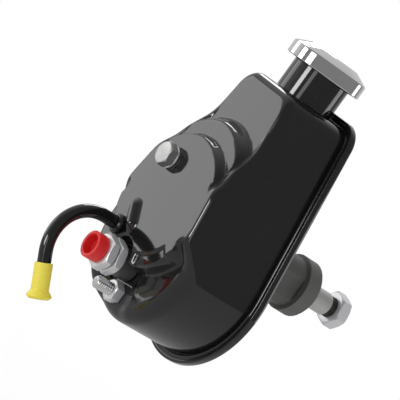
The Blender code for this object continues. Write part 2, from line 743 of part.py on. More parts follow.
def build_cap_inside(finish):
    """Lock plate, dipstick and rivet under the cap, and the gasket on the neck."""
    x, y = 0.0, FLANGE_PLANE + NECK_DEPTH
    gasket_base = NECK_TOP + GAP
    turned("cap_gasket", ring_profile(NECK_MOUTH_RADIUS + 0.0006, NECK_RADIUS - 0.0010,
                                      gasket_base, gasket_base + GASKET_THICKNESS),
           finish.rubber, (x, y, 0.0), MEDIUM, rotation=(0, 0, 0))
    crown_inside = CAP_SKIRT_BOTTOM + CAP_SKIRT_HEIGHT + CAP_RISE - CAP_SHEET
    plate_top = NECK_TOP - NECK_WALL - 0.0010
    lock = bmesh.new()
    outline = []
    half = math.asin(LOCK_TAB_HALF_WIDTH / LOCK_TAB_RADIUS)
    edge = math.asin(LOCK_TAB_HALF_WIDTH / LOCK_PLATE_RADIUS)
    for side in (0.0, math.pi):
        for k in range(5):
            a = side - half + 2 * half * k / 4
            outline.append((LOCK_TAB_RADIUS * math.cos(a), LOCK_TAB_RADIUS * math.sin(a)))
        for k in range(13):
            a = side + edge + (math.pi - 2 * edge) * k / 12
            outline.append((LOCK_PLATE_RADIUS * math.cos(a), LOCK_PLATE_RADIUS * math.sin(a)))
    lower = [lock.verts.new((px, py, 0.0)) for px, py in outline]
    lock.faces.new(lower)
    bottom = lock.faces[:]
    grown = bmesh.ops.extrude_face_region(lock, geom=bottom)
    raised = [v for v in grown["geom"] if isinstance(v, bmesh.types.BMVert)]
    bmesh.ops.translate(lock, verts=raised, vec=(0.0, 0.0, LOCK_PLATE_THICKNESS))
    plate = finish_mesh("cap_lock_plate", lock, finish.zinc,
                        (x, y, plate_top - LOCK_PLATE_THICKNESS))
    hole = turned_mesh(solid_profile(CAP_RIVET_RADIUS + GAP, -0.004, 0.006), COARSE, closed=False)
    combine(plate, cutter("rivet_hole", hole, (x, y, plate_top - LOCK_PLATE_THICKNESS)),
            'DIFFERENCE')
    head = 0.0012
    rivet = [(0.0, plate_top - LOCK_PLATE_THICKNESS - GAP - head),
             (CAP_RIVET_RADIUS + 0.0020, plate_top - LOCK_PLATE_THICKNESS - GAP - head),
             (CAP_RIVET_RADIUS + 0.0020, plate_top - LOCK_PLATE_THICKNESS - GAP),
             (CAP_RIVET_RADIUS, plate_top - LOCK_PLATE_THICKNESS - GAP),
             (CAP_RIVET_RADIUS, plate_top + GAP),
             (CAP_HUB_RADIUS, plate_top + GAP),
             (CAP_HUB_RADIUS, crown_inside - GAP),
             (0.0, crown_inside - GAP)]
    turned("cap_rivet", rivet, finish.zinc, (x, y, 0.0), COARSE, closed=False,
           rotation=(0, 0, 0))
    stick_top = plate_top - LOCK_PLATE_THICKNESS - 2 * GAP - head
    turned("dipstick", [(0.0, stick_top - DIPSTICK_LENGTH),
                        (DIPSTICK_RADIUS * 0.6, stick_top - DIPSTICK_LENGTH),
                        (DIPSTICK_RADIUS, stick_top - DIPSTICK_LENGTH + 0.002),
                        (DIPSTICK_RADIUS, stick_top), (0.0, stick_top)],
           finish.zinc, (x, y, 0.0), COARSE, closed=False, rotation=(0, 0, 0))


def build_housing(finish):
    """Cast body: hub, front disc with bracket pads, pump bore and valve lobe."""
    flange = FLANGE_PLANE
    drum_end = HUB_FRONT + HUB_LENGTH
    front = flange - DISC_FRONT
    profile = [(0.0, HUB_FRONT), (HUB_RADIUS - HUB_CHAMFER, HUB_FRONT),
               (HUB_RADIUS, HUB_FRONT + HUB_CHAMFER), (HUB_RADIUS, drum_end),
               (HUB_NECK_RADIUS, drum_end + 0.0012), (HUB_NECK_RADIUS, front - 0.014),
               (HUB_NECK_RADIUS + 0.0018, front - 0.007),
               (HUB_NECK_RADIUS + 0.0060, front - 0.0018),
               (HUB_NECK_RADIUS + 0.0110, front), (DISC_RADIUS - 0.0012, front),
               (DISC_RADIUS, front + 0.0012), (DISC_RADIUS, flange - 0.0028),
               (DISC_RADIUS - 0.0022, flange - 0.0028), (DISC_RADIUS - 0.0022, flange + 0.0004),
               (DISC_RADIUS, flange + 0.0004), (DISC_RADIUS, flange + DISC_BACK),
               (BODY_RADIUS, flange + DISC_BACK + 0.003), (BODY_RADIUS, flange + BODY_END - 0.002),
               (BODY_RADIUS - 0.002, flange + BODY_END), (0.0, flange + BODY_END)]
    housing = turned("pump_housing", profile, finish.casting, (0.0, 0.0, 0.0), FINE,
                     closed=False)

    for side in (1.0, -1.0):
        flat = bmesh.new()
        bmesh.ops.create_cube(flat, size=1.0)
        length = front - 0.016 - drum_end
        bmesh.ops.scale(flat, vec=(0.010, length, 0.060), verts=flat.verts)
        place = (side * (HUB_FLAT_OFFSET + 0.005), drum_end + 0.0016 + length * 0.5, 0.0)
        combine(housing, cutter("hub_flat", flat, place), 'DIFFERENCE')

    relief = POCKET_RADIUS + SHEET + POCKET_CLEARANCE
    drill(housing, relief, flange + LOBE_END - 0.001, flange + BODY_END + 0.010,
          UNION_X, UNION_Z, FINE)
    lobe = bmesh.new()
    prism(lobe, lobe_outline(), flange + LOBE_START, flange + LOBE_END)
    combine(housing, cutter("valve_lobe", lobe), 'UNION')

    for k in range(4):
        angle = math.radians(45.0 + 90.0 * k)
        x, z = PAD_CIRCLE * math.cos(angle), PAD_CIRCLE * math.sin(angle)
        pad = turned_mesh(solid_profile(PAD_RADIUS, front - PAD_RISE, flange), COARSE, closed=False)
        combine(housing, cutter("pad_form", pad, (x, 0.0, z), AXIS_Y), 'UNION')
        drill(housing, PAD_HOLE_RADIUS, front - PAD_RISE - 0.002,
              front - PAD_RISE + PAD_HOLE_DEPTH, x, z, COARSE)

    drill(housing, BORE_RADIUS, flange + BORE_START, flange + BODY_END + 0.010, 0.0, 0.0, FINE)
    drill(housing, SEAL_SEAT_RADIUS, HUB_FRONT - 0.004, HUB_FRONT + SEAL_SEAT_DEPTH, 0.0, 0.0, MEDIUM)
    drill(housing, BUSHING_OUTER_RADIUS + GAP, HUB_FRONT + 0.002, flange + BORE_START + 0.002,
          0.0, 0.0, MEDIUM)
    groove = turned_mesh(ring_profile(BORE_RADIUS - 0.001, BORE_RADIUS + RING_DEPTH,
                                      ring_start() - GAP,
                                      ring_start() + RING_THICKNESS + GAP), FINE)
    combine(housing, cutter("ring_groove", groove, (0, 0, 0), AXIS_Y), 'DIFFERENCE')
    recess = flange + LOBE_END - SEAL_RECESS
    valve_bore = [(0.0, flange + VALVE_BORE_START), (VALVE_BORE_RADIUS, flange + VALVE_BORE_START),
                  (VALVE_BORE_RADIUS, recess), (SEAL_SEAT_OUTER, recess),
                  (SEAL_SEAT_OUTER, flange + LOBE_END + 0.010), (0.0, flange + LOBE_END + 0.010)]
    combine(housing, cutter("valve_bore", turned_mesh(valve_bore, MEDIUM, closed=False),
                            (UNION_X, 0.0, UNION_Z), AXIS_Y), 'DIFFERENCE')
    drill(housing, STUD_RADIUS + GAP, flange + LOBE_END - STUD_ENGAGEMENT - STUD_HOLE_SPARE,
          flange + LOBE_END + 0.010, STUD_X, STUD_Z, COARSE)
    drill(housing, BOLT_SHANK_RADIUS + GAP, flange + BODY_END - 0.014,
          flange + BODY_END + 0.010, BOLT_X, BOLT_Z, COARSE)
    weld(housing)
    return housing


def lobe_outline():
    """Hull of the valve boss, the stud boss and the body's side, in the XZ plane."""
    points = []
    for k in range(13):
        angle = math.pi + math.pi * k / 12
        points.append((STUD_X + STUD_LOBE_RADIUS * math.cos(angle),
                       STUD_Z + STUD_LOBE_RADIUS * math.sin(angle)))
    for k in range(9):
        angle = math.radians(-30.0 + 60.0 * k / 8)
        points.append((UNION_X + LOBE_RADIUS * math.cos(angle),
                       UNION_Z + LOBE_RADIUS * math.sin(angle)))
    points += [(UNION_X + LOBE_RADIUS, -0.030), (UNION_X - LOBE_RADIUS, -0.030)]
    for k in range(9):
        angle = math.radians(150.0 + 60.0 * k / 8)
        points.append((UNION_X + LOBE_RADIUS * math.cos(angle),
                       UNION_Z + LOBE_RADIUS * math.sin(angle)))
    return points


def ring_start():
    """Depth at which the retaining ring's groove starts."""
    return FLANGE_PLANE + stack_end_plate() + END_PLATE + GAP


def stack_cam():
    """Front of the cam ring, from the flange plane."""
    return BORE_START + GAP + THRUST_PLATE + GAP


def stack_pressure_plate():
    """Front of the pressure plate, from the flange plane."""
    return stack_cam() + CAM_WIDTH + GAP


def stack_end_plate():
    """Front of the end plate, from the flange plane."""
    return stack_pressure_plate() + PRESSURE_PLATE + GAP + PLATE_SPRING_LENGTH + GAP


def build_shaft_group(finish):
    """Shaft, nut and front seal and bushing."""
    rotor_end = FLANGE_PLANE + stack_cam() + CAM_WIDTH
    end = FLANGE_PLANE + stack_pressure_plate() + PRESSURE_PLATE - 0.0015
    groove = THREAD_RADIUS - 0.0008
    shaft = [(0.0, 0.0), (THREAD_RADIUS - 0.0012, 0.0), (THREAD_RADIUS, 0.0012),
             (THREAD_RADIUS, THREAD_LENGTH - 0.0012), (groove, THREAD_LENGTH - 0.0008),
             (groove, THREAD_LENGTH), (SHAFT_RADIUS - 0.0006, THREAD_LENGTH),
             (SHAFT_RADIUS, THREAD_LENGTH + 0.0006), (SHAFT_RADIUS, rotor_end + GAP),
             (SHAFT_RADIUS - 0.0008, rotor_end + GAP),
             (SHAFT_RADIUS - 0.0008, rotor_end + 2 * GAP + SNAP_RING_THICKNESS + 0.0003),
             (SHAFT_RADIUS, rotor_end + 2 * GAP + SNAP_RING_THICKNESS + 0.0003),
             (SHAFT_RADIUS, end - 0.001), (SHAFT_RADIUS - 0.001, end), (0.0, end)]
    turned("drive_shaft", shaft, finish.steel, (0, 0, 0), MEDIUM, closed=False)
    crowned_hex("shaft_nut", NUT_FLATS, NUT_START, NUT_START + NUT_THICKNESS, finish.zinc,
                (0, 0, 0), math.radians(12.0), THREAD_RADIUS + GAP)
    seat = HUB_FRONT + SEAL_SEAT_DEPTH
    turned("shaft_seal", [(SHAFT_RADIUS + RUNNING_GAP, seat - 0.0068),
                          (SHAFT_RADIUS + 0.0030, seat - 0.0068),
                          (SHAFT_RADIUS + 0.0040, seat - 0.0058),
                          (SEAL_SEAT_RADIUS - GAP, seat - 0.0058),
                          (SEAL_SEAT_RADIUS - GAP, seat - GAP),
                          (SHAFT_RADIUS + 0.0022, seat - GAP),
                          (SHAFT_RADIUS + 0.0022, seat - 0.0040),
                          (SHAFT_RADIUS + RUNNING_GAP, seat - 0.0050)],
           finish.rubber, (0, 0, 0), MEDIUM)
    turned("shaft_bushing", ring_profile(SHAFT_RADIUS + RUNNING_GAP, BUSHING_OUTER_RADIUS,
                                         seat + 0.010, seat + 0.010 + BUSHING_LENGTH),
           finish.bronze, (0, 0, 0), MEDIUM)


def cam_bore(angle):
    """Radius of the cam ring's two-lobed bore."""
    lift = (1.0 - math.cos(2.0 * angle)) * 0.5
    return CAM_BORE_MINOR + (CAM_BORE_MAJOR - CAM_BORE_MINOR) * lift


def build_rotating_group(finish):
    """Rotor with its vanes inside the cam ring, and the plates on either side."""
    base = FLANGE_PLANE
    cam = base + stack_cam()
    turned("thrust_plate", ring_profile(SHAFT_RADIUS + 0.0006, BORE_RADIUS - GAP,
                                        base + BORE_START + GAP,
                                        base + BORE_START + GAP + THRUST_PLATE),
           finish.steel, (0, 0, 0), MEDIUM)

    ring = bmesh.new()
    angles = [k * math.tau / CAM_POINTS for k in range(CAM_POINTS)]
    reach = BORE_RADIUS - GAP
    loops = []
    for y in (cam, cam + CAM_WIDTH):
        outer = [ring.verts.new((reach * math.cos(a), y, reach * math.sin(a))) for a in angles]
        inner = [ring.verts.new((cam_bore(a) * math.cos(a), y, cam_bore(a) * math.sin(a)))
                 for a in angles]
        loops += [outer, inner]
    outer_a, inner_a, outer_b, inner_b = loops
    join_rings(ring, outer_a, outer_b)
    join_rings(ring, inner_b, inner_a)
    join_rings(ring, inner_a, outer_a)
    join_rings(ring, outer_b, inner_b)
    finish_mesh("cam_ring", ring, finish.steel)

    rotor = turned("rotor", ring_profile(SHAFT_RADIUS + GAP, ROTOR_RADIUS, cam + 0.0002,
                                         cam + CAM_WIDTH - 0.0002),
                   finish.steel, (0, 0, 0), MEDIUM)
    slots = bmesh.new()
    slot_width = VANE_THICKNESS + 2 * GAP
    for k in range(VANE_COUNT):
        bmesh.ops.create_cube(slots, size=1.0, matrix=slot_matrix(
            k, ROTOR_RADIUS + 0.002 - SLOT_DEPTH * 0.5, cam + CAM_WIDTH * 0.5,
            (SLOT_DEPTH + 0.004, CAM_WIDTH + 0.004, slot_width)))
    combine(rotor, cutter("vane_slots", slots), 'DIFFERENCE')
    for k in range(VANE_COUNT):
        vane = bmesh.new()
        bmesh.ops.create_cube(vane, size=1.0)
        bmesh.ops.scale(vane, vec=(VANE_HEIGHT, CAM_WIDTH - 0.0006, VANE_THICKNESS),
                        verts=vane.verts)
        tip = [v for v in vane.verts if v.co.x > 0.0]
        edges = [e for e in vane.edges if e.verts[0] in tip and e.verts[1] in tip
                 and abs(e.verts[0].co.z - e.verts[1].co.z) < 1e-7]
        bmesh.ops.bevel(vane, geom=edges, offset=0.0004, segments=1, affect='EDGES')
        centre = CAM_BORE_MINOR - RUNNING_GAP - VANE_HEIGHT * 0.5
        angle = math.radians(18.0) + k * math.tau / VANE_COUNT
        finish_mesh(f"vane_{k + 1:02d}", vane, finish.steel,
                    (centre * math.cos(angle), cam + CAM_WIDTH * 0.5,
                     centre * math.sin(angle)), (0.0, -angle, 0.0))

    rotor_end = cam + CAM_WIDTH
    turned("rotor_snap_ring", ring_profile(SHAFT_RADIUS - 0.0008 + GAP, SHAFT_RADIUS + 0.0016,
                                           rotor_end + 2 * GAP,
                                           rotor_end + 2 * GAP + SNAP_RING_THICKNESS),
           finish.spring, (0, 0, 0), MEDIUM)
    plate = base + stack_pressure_plate()
    pocket = SHAFT_RADIUS + 0.0024
    turned("pressure_plate", ring_profile(pocket, BORE_RADIUS - GAP, plate,
                                          plate + PRESSURE_PLATE),
           finish.steel, (0, 0, 0), MEDIUM)
    for k, side in enumerate((1.0, -1.0)):
        x = side * PIN_CIRCLE
        turned(f"dowel_pin_{k + 1}", solid_profile(PIN_RADIUS, base + BORE_START + 0.001,
                                                   plate + PRESSURE_PLATE - 0.001, 0.0003),
               finish.steel, (x, 0.0, 0.0), 12, closed=False)
        for name in ("thrust_plate", "cam_ring", "pressure_plate"):
            drill(bpy.data.objects[name], PIN_RADIUS + GAP, base + BORE_START - 0.004,
                  plate + PRESSURE_PLATE + 0.004, x, 0.0, 12)
    for k in range(2):
        port = turned_mesh(solid_profile(0.0030, cam - THRUST_PLATE - 0.004, cam + 0.002), 12,
                           closed=False)
        angle = math.radians(50.0 + 180.0 * k)
        spot = (0.0198 * math.cos(angle), 0.0, 0.0198 * math.sin(angle))
        combine(bpy.data.objects["thrust_plate"], cutter("inlet_port", port, spot, AXIS_Y),
                'DIFFERENCE')
    turned("end_plate_spring", plate_spring_profile(), finish.spring, (0, 0, 0), MEDIUM)
    end_plate = base + stack_end_plate()
    turned("end_plate", [(0.0, end_plate), (BORE_RADIUS - GAP, end_plate),
                         (BORE_RADIUS - GAP, end_plate + 0.0022),
                         (BORE_RADIUS - 0.0022, end_plate + 0.0022),
                         (BORE_RADIUS - 0.0022, end_plate + 0.0048),
                         (BORE_RADIUS - GAP, end_plate + 0.0048),
                         (BORE_RADIUS - GAP, end_plate + END_PLATE),
                         (0.0080, end_plate + END_PLATE), (0.0060, end_plate + END_PLATE - 0.002),
                         (0.0, end_plate + END_PLATE - 0.002)],
           finish.steel, (0, 0, 0), MEDIUM, closed=False)
    turned("end_plate_seal", round_section(BORE_RADIUS - 0.00125, end_plate + 0.0035, 0.00085),
           finish.rubber, (0, 0, 0), MEDIUM)
    turned("end_plate_retaining_ring", ring_profile(BORE_RADIUS - 0.0022,
                                                    BORE_RADIUS + RING_DEPTH - GAP,
                                                    ring_start(),
                                                    ring_start() + RING_THICKNESS),
           finish.spring, (0, 0, 0), MEDIUM)


def plate_spring_profile():
    """Section of the wave spring that presses the plates together."""
    start = FLANGE_PLANE + stack_pressure_plate() + PRESSURE_PLATE + GAP
    wire = PLATE_SPRING_WIRE
    radius = PLATE_SPRING_RADIUS
    return [(radius, start), (radius + wire, start),
            (radius + wire * 4, start + PLATE_SPRING_LENGTH - wire),
            (radius + wire * 4, start + PLATE_SPRING_LENGTH),
            (radius + wire * 3, start + PLATE_SPRING_LENGTH), (radius, start + wire)]


def slot_matrix(index, radius, y, size):
    """Place a box on one of the rotor's slot lines."""
    angle = math.radians(18.0) + index * math.tau / VANE_COUNT
    move = Matrix.Translation(Vector((radius * math.cos(angle), y, radius * math.sin(angle))))
    return move @ Matrix.Rotation(-angle, 4, 'Y') @ Matrix.Diagonal((*size, 1.0))


def helix_mesh(radius, wire, start, end, turns, sides=5, per_turn=10):
    """A coil spring along Y with flat-lying ends."""
    shape = bmesh.new()
    count = int(turns * per_turn)
    rings = []
    for k in range(count + 1):
        share = k / count
        angle = share * turns * math.tau
        rise = start + wire + (end - start - 2 * wire) * share
        ring = []
        for s in range(sides):
            turn = s * math.tau / sides
            reach = radius + wire * math.cos(turn)
            ring.append(shape.verts.new((reach * math.cos(angle),
                                         rise + wire * math.sin(turn),
                                         reach * math.sin(angle))))
        rings.append(ring)
    for before, after in zip(rings, rings[1:]):
        join_rings(shape, before, after)
    shape.faces.new(rings[0])
    shape.faces.new(rings[-1])
    return shape


def build_valve(finish):
    """Flow control spool, its spring, and the relief ball inside it."""
    base = FLANGE_PLANE
    spool_end = base + LOBE_END - UNION_SHANK_LENGTH + 0.0020 - GAP
    spool_start = spool_end - SPOOL_LENGTH
    place = (UNION_X, 0.0, UNION_Z)
    r = SPOOL_RADIUS
    groove = r - 0.0016
    spool = [(SPOOL_CAVITY_RADIUS, spool_start), (VALVE_SPRING_RADIUS + 0.0010, spool_start),
             (r, spool_start + 0.0010), (r, spool_start + 0.0060),
             (groove, spool_start + 0.0068), (groove, spool_start + 0.0100),
             (r, spool_start + 0.0108), (r, spool_end - 0.0030),
             (r - 0.0030, spool_end), (0.0, spool_end)]
    inside = [(0.0, spool_start + SPOOL_CAVITY_DEPTH),
              (SPOOL_CAVITY_RADIUS, spool_start + SPOOL_CAVITY_DEPTH)]
    turned("valve_spool", inside + spool, finish.steel, place, MEDIUM, closed=False)
    start = spool_start
    turned("relief_plug", solid_profile(SPOOL_CAVITY_RADIUS - GAP, start + 0.0004,
                                        start + 0.0030, 0.0003),
           finish.steel, place, COARSE, closed=False)
    spring = helix_mesh(SPOOL_CAVITY_RADIUS - 0.0011, 0.00045, start + 0.0033,
                        start + 0.0085, 3.0, 5, 9)
    finish_mesh("relief_spring", spring, finish.spring, place)
    ball = bmesh.new()
    bmesh.ops.create_uvsphere(ball, u_segments=12, v_segments=8, radius=0.0019)
    finish_mesh("relief_ball", ball, finish.steel,
                (UNION_X, start + 0.0088 + 0.0019, UNION_Z))
    coil = helix_mesh(VALVE_SPRING_RADIUS, VALVE_SPRING_WIRE,
                      base + VALVE_BORE_START + GAP, spool_start - GAP, 5.0)
    finish_mesh("valve_spring", coil, finish.spring, place)


def build_ports(finish):
    """Pressure union, stud, bolt and their nuts and seals."""
    rear = FLANGE_PLANE + REAR_FACE_DEPTH
    top = FLANGE_PLANE + PLATEAU_DEPTH
    seat = rear + GAP
    hex_start = seat + UNION_COLLAR
    end = hex_start + UNION_INNER_HEX + UNION_GROOVE + UNION_OUTER_HEX
    place = (UNION_X, 0.0, UNION_Z)
    union = crowned_hex("outlet_union", UNION_FLATS, hex_start, end, finish.zinc, place,
                        UNION_TURN)
    groove_at = hex_start + UNION_INNER_HEX
    groove = turned_mesh(ring_profile(UNION_FLATS * 0.5 - 0.0008, UNION_FLATS, groove_at,
                                      groove_at + UNION_GROOVE), MEDIUM)
    combine(union, cutter("union_groove", groove, place, AXIS_Y), 'DIFFERENCE')
    collar = turned_mesh(solid_profile(UNION_COLLAR_RADIUS, seat, hex_start + 0.002),
                         MEDIUM, closed=False)
    combine(union, cutter("union_collar", collar, place, AXIS_Y), 'UNION')
    shank = turned_mesh(solid_profile(UNION_SHANK_RADIUS, FLANGE_PLANE + LOBE_END
                                      - UNION_SHANK_LENGTH + 0.0020, seat + 0.002), MEDIUM,
                        closed=False)
    combine(union, cutter("union_shank", shank, place, AXIS_Y), 'UNION')
    bore = turned_mesh(solid_profile(UNION_BORE_RADIUS, FLANGE_PLANE, end + 0.01), COARSE,
                       closed=False)
    combine(union, cutter("union_bore", bore, place, AXIS_Y), 'DIFFERENCE')
    turned("union_seal", round_section(UNION_SHANK_RADIUS + GAP + 0.0012,
                                       FLANGE_PLANE + LOBE_END - SEAL_RECESS + 0.0010,
                                       0.0007),
           finish.rubber, place, MEDIUM)

    spot = (STUD_X, 0.0, STUD_Z)
    inner_end = FLANGE_PLANE + LOBE_END - STUD_ENGAGEMENT
    turned("rear_stud", solid_profile(STUD_RADIUS, inner_end, rear + STUD_LENGTH, 0.0010),
           finish.zinc, spot, COARSE, closed=False)
    crowned_hex("stud_nut", STUD_NUT_FLATS, seat, seat + STUD_NUT_THICKNESS, finish.zinc,
                spot, STUD_NUT_TURN, STUD_RADIUS + GAP, crown_start=False)

    seal_top = top + GAP + WASHER_THICKNESS
    turned("bolt_washer", ring_profile(BOLT_SHANK_RADIUS + GAP, BOLT_FLATS * 0.5 + 0.0006,
                                       top + GAP, seal_top),
           finish.zinc, (BOLT_X, 0.0, BOLT_Z), MEDIUM)
    head = seal_top + GAP
    bolt = crowned_hex("rear_bolt", BOLT_FLATS, head, head + BOLT_HEAD, finish.zinc,
                       (BOLT_X, 0.0, BOLT_Z), math.radians(25.0), crown_start=False)
    stem = turned_mesh(solid_profile(BOLT_SHANK_RADIUS, head - BOLT_LENGTH, head + 0.001,
                                     0.0006), COARSE, closed=False)
    combine(bolt, cutter("bolt_stem", stem, (BOLT_X, 0.0, BOLT_Z), AXIS_Y), 'UNION')


def tube_frame():
    """Start point and the two directions of the tube's bend."""
    start = Vector((TUBE_X, FLANGE_PLANE + PLATEAU_DEPTH, TUBE_Z))
    out = Vector((0.0, 1.0, 0.0))
    down = Vector((-math.sin(TUBE_TILT), 0.0, -math.cos(TUBE_TILT)))
    return start, out, down


def tube_point(distance):
    """Point and direction on the tube's centre line, from the plateau's face."""
    start, out, down = tube_frame()
    if distance <= TUBE_STRAIGHT:
        return start + out * distance, out
    arc = TUBE_BEND_RADIUS * TUBE_BEND_ANGLE
    turn = min((distance - TUBE_STRAIGHT) / TUBE_BEND_RADIUS, TUBE_BEND_ANGLE)
    point = (start + out * (TUBE_STRAIGHT + TUBE_BEND_RADIUS * math.sin(turn))
             + down * TUBE_BEND_RADIUS * (1.0 - math.cos(turn)))
    heading = out * math.cos(turn) + down * math.sin(turn)
    beyond = distance - TUBE_STRAIGHT - arc
    if beyond > 0.0:
        point = point + heading * beyond
    return point, heading


def tube_length():
    """Length of the tube beyond the plateau's face."""
    return TUBE_STRAIGHT + TUBE_BEND_RADIUS * TUBE_BEND_ANGLE + TUBE_TAIL


def build_tube(finish):
    """Bent return tube with its bead at the can and its open end."""
    _, out, down = tube_frame()
    side = out.cross(down)
    length = tube_length()
    arc = TUBE_BEND_RADIUS * TUBE_BEND_ANGLE
    inner_end = PLATEAU_DEPTH - BODY_END - TUBE_INNER_CLEARANCE
    stations = [-inner_end, 0.0, TUBE_STRAIGHT * 0.5, TUBE_STRAIGHT]
    stations += [TUBE_STRAIGHT + arc * k / 9 for k in range(1, 10)]
    stations += [TUBE_STRAIGHT + arc + TUBE_TAIL * 0.5, length]
    sides = 12
    shape = bmesh.new()

    def ring(distance, radius):
        point, heading = tube_point(distance)
        across = heading.cross(side)
        return [shape.verts.new(point + (side * math.cos(k * math.tau / sides)
                                         + across * math.sin(k * math.tau / sides)) * radius)
                for k in range(sides)]

    outer = [ring(distance, TUBE_RADIUS) for distance in stations]
    inner = [ring(distance, TUBE_RADIUS - TUBE_WALL) for distance in stations]
    for before, after in zip(outer, outer[1:]):
        join_rings(shape, before, after)
    for before, after in zip(inner, inner[1:]):
        join_rings(shape, after, before)
    join_rings(shape, inner[0], outer[0])
    join_rings(shape, outer[-1], inner[-1])
    tube = finish_mesh("return_tube", shape, finish.enamel)
    face = FLANGE_PLANE + PLATEAU_DEPTH + GAP
    collar = turned("tube_collar", [(TUBE_RADIUS + GAP, face), (COLLAR_RADIUS, face),
                                    (COLLAR_RADIUS, face + COLLAR_LENGTH - 0.0012),
                                    (TUBE_RADIUS + 0.0012, face + COLLAR_LENGTH),
                                    (TUBE_RADIUS + GAP, face + COLLAR_LENGTH)],
                    finish.enamel, (TUBE_X, 0.0, TUBE_Z), MEDIUM)
    return tube, collar


def build_plastic_caps(finish):
    """Red plug in the pressure port and yellow sleeve on the return tube."""
    seat = (FLANGE_PLANE + REAR_FACE_DEPTH + GAP + UNION_COLLAR + UNION_INNER_HEX
            + UNION_GROOVE + UNION_OUTER_HEX)
    head = GAP
    stem = UNION_BORE_RADIUS - GAP
    plug = [(0.0, -PLUG_STEM_LENGTH), (stem - 0.0008, -PLUG_STEM_LENGTH),
            (stem, -PLUG_STEM_LENGTH + 0.0012), (stem, head),
            (PLUG_RADIUS - 0.0006, head), (PLUG_RADIUS, head + 0.0006),
            (PLUG_RADIUS, head + PLUG_LENGTH - 0.0006),
            (PLUG_RADIUS - 0.0006, head + PLUG_LENGTH),
            (PLUG_CUP_RADIUS, head + PLUG_LENGTH),
            (PLUG_CUP_RADIUS - 0.0006, head + PLUG_LENGTH - PLUG_CUP_DEPTH),
            (0.0, head + PLUG_LENGTH - PLUG_CUP_DEPTH)]
    turned("port_plug", plug, finish.red, (UNION_X, seat, UNION_Z), MEDIUM, closed=False)

    length = tube_length()
    end, heading = tube_point(length)
    inner = TUBE_RADIUS + GAP
    outer = inner + SLEEVE_WALL
    far = SLEEVE_LENGTH - SLEEVE_COVER
    sleeve = [(0.0, GAP), (inner, GAP), (inner, -SLEEVE_COVER), (outer, -SLEEVE_COVER),
              (outer, far - SLEEVE_FLANGE), (SLEEVE_FLANGE_RADIUS - 0.0006, far - SLEEVE_FLANGE
                                            + 0.0022),
              (SLEEVE_FLANGE_RADIUS, far - SLEEVE_FLANGE + 0.0034),
              (SLEEVE_FLANGE_RADIUS, far - 0.0016), (SLEEVE_FLANGE_RADIUS - 0.0020, far),
              (0.0, far)]
    turn = Vector((0.0, 0.0, 1.0)).rotation_difference(heading).to_euler()
    turned("tube_cap", sleeve, finish.yellow, end, MEDIUM, closed=False, rotation=turn)


def build_small_pieces(finish):
    """Magnet that gathers filings in the reservoir, and the housing's main seal."""
    magnet = bmesh.new()
    bmesh.ops.create_cube(magnet, size=1.0)
    bmesh.ops.scale(magnet, vec=(MAGNET_SIZE, MAGNET_SIZE, MAGNET_THICKNESS),
                    verts=magnet.verts)
    floor_radius = CAN_BOTTOM_RADIUS - SHEET
    sag = math.sqrt(floor_radius ** 2 - (MAGNET_SIZE * 0.5) ** 2)
    height = -CAN_BOTTOM_DROP - sag + GAP + MAGNET_THICKNESS * 0.5
    finish_mesh("filings_magnet", magnet, finish.spring,
                (0.0, FLANGE_PLANE + REAR_FACE_DEPTH * 0.45, height))
    turned("housing_seal", round_section(DISC_RADIUS - 0.00105, FLANGE_PLANE - 0.0012, 0.00085),
           finish.rubber, (0, 0, 0), FINE)


def main():
    """Build every piece."""
    clear_scene()
    finish = Finish()
    build_reservoir(finish.enamel)
    build_front_plate(finish.enamel)
    build_neck(finish.enamel)
    build_cap(finish.chrome)
    build_cap_inside(finish)
    build_housing(finish)
    build_shaft_group(finish)
    build_rotating_group(finish)
    build_valve(finish)
    build_ports(finish)
    build_tube(finish)
    build_plastic_caps(finish)
    build_small_pieces(finish)


main()
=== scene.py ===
"""Looks of a power steering pump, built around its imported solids.

The drawn steel reservoir, its rim, neck and cap, the ports, the bent tube and the
threaded shaft are rebuilt with fine curves. The casting and the pieces inside keep
their solids and get their own finishes. Sizes are in millimetres, and those of the
studio's lights, clip and floor shades in metres.
"""
import logging
import math
from dataclasses import dataclass, field
from enum import Enum
from typing import Callable, Sequence

import bpy
import numpy as np
from mathutils import Matrix, Vector


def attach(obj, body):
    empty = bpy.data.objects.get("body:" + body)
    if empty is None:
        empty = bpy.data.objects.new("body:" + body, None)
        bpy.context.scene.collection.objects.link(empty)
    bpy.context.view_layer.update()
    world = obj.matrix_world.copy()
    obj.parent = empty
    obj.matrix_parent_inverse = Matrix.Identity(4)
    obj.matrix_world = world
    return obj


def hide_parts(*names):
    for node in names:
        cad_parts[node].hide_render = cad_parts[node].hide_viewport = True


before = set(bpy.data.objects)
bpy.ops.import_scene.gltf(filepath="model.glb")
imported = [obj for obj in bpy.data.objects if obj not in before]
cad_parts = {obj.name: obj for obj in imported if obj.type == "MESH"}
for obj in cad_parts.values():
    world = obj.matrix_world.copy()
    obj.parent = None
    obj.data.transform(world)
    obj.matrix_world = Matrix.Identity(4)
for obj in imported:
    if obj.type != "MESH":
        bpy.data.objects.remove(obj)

LOG = logging.getLogger("pump")
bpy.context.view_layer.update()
MM = 0.001
FLANGE = 106.0
AXIS_GAP = 1e-4
ROUNDED_SHARE = 0.45

Point = tuple[float, float]
Triple = tuple[float, float, float]
Colour = Triple
Array = np.ndarray
Piece = bpy.types.Object
Node = bpy.types.Node
Socket = bpy.types.NodeSocket
Sockets = bpy.types.bpy_prop_collection


class Shade(Enum):
    """Angle in degrees from which a piece's edges show sharp."""

    SMOOTH = 180.0
    MOULDED = 60.0
    MACHINED = 28.0


class Slot(Enum):
    """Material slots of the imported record."""

    ENAMEL = "black_enamel"
    CASTING = "cast_iron"
    CHROME = "chrome"
    ZINC = "bright_zinc"
    STEEL = "ground_steel"
    SPRING = "spring_steel"
    BRONZE = "bushing_bronze"
    RUBBER = "black_rubber"
    RED = "red_plastic"
    YELLOW = "yellow_plastic"


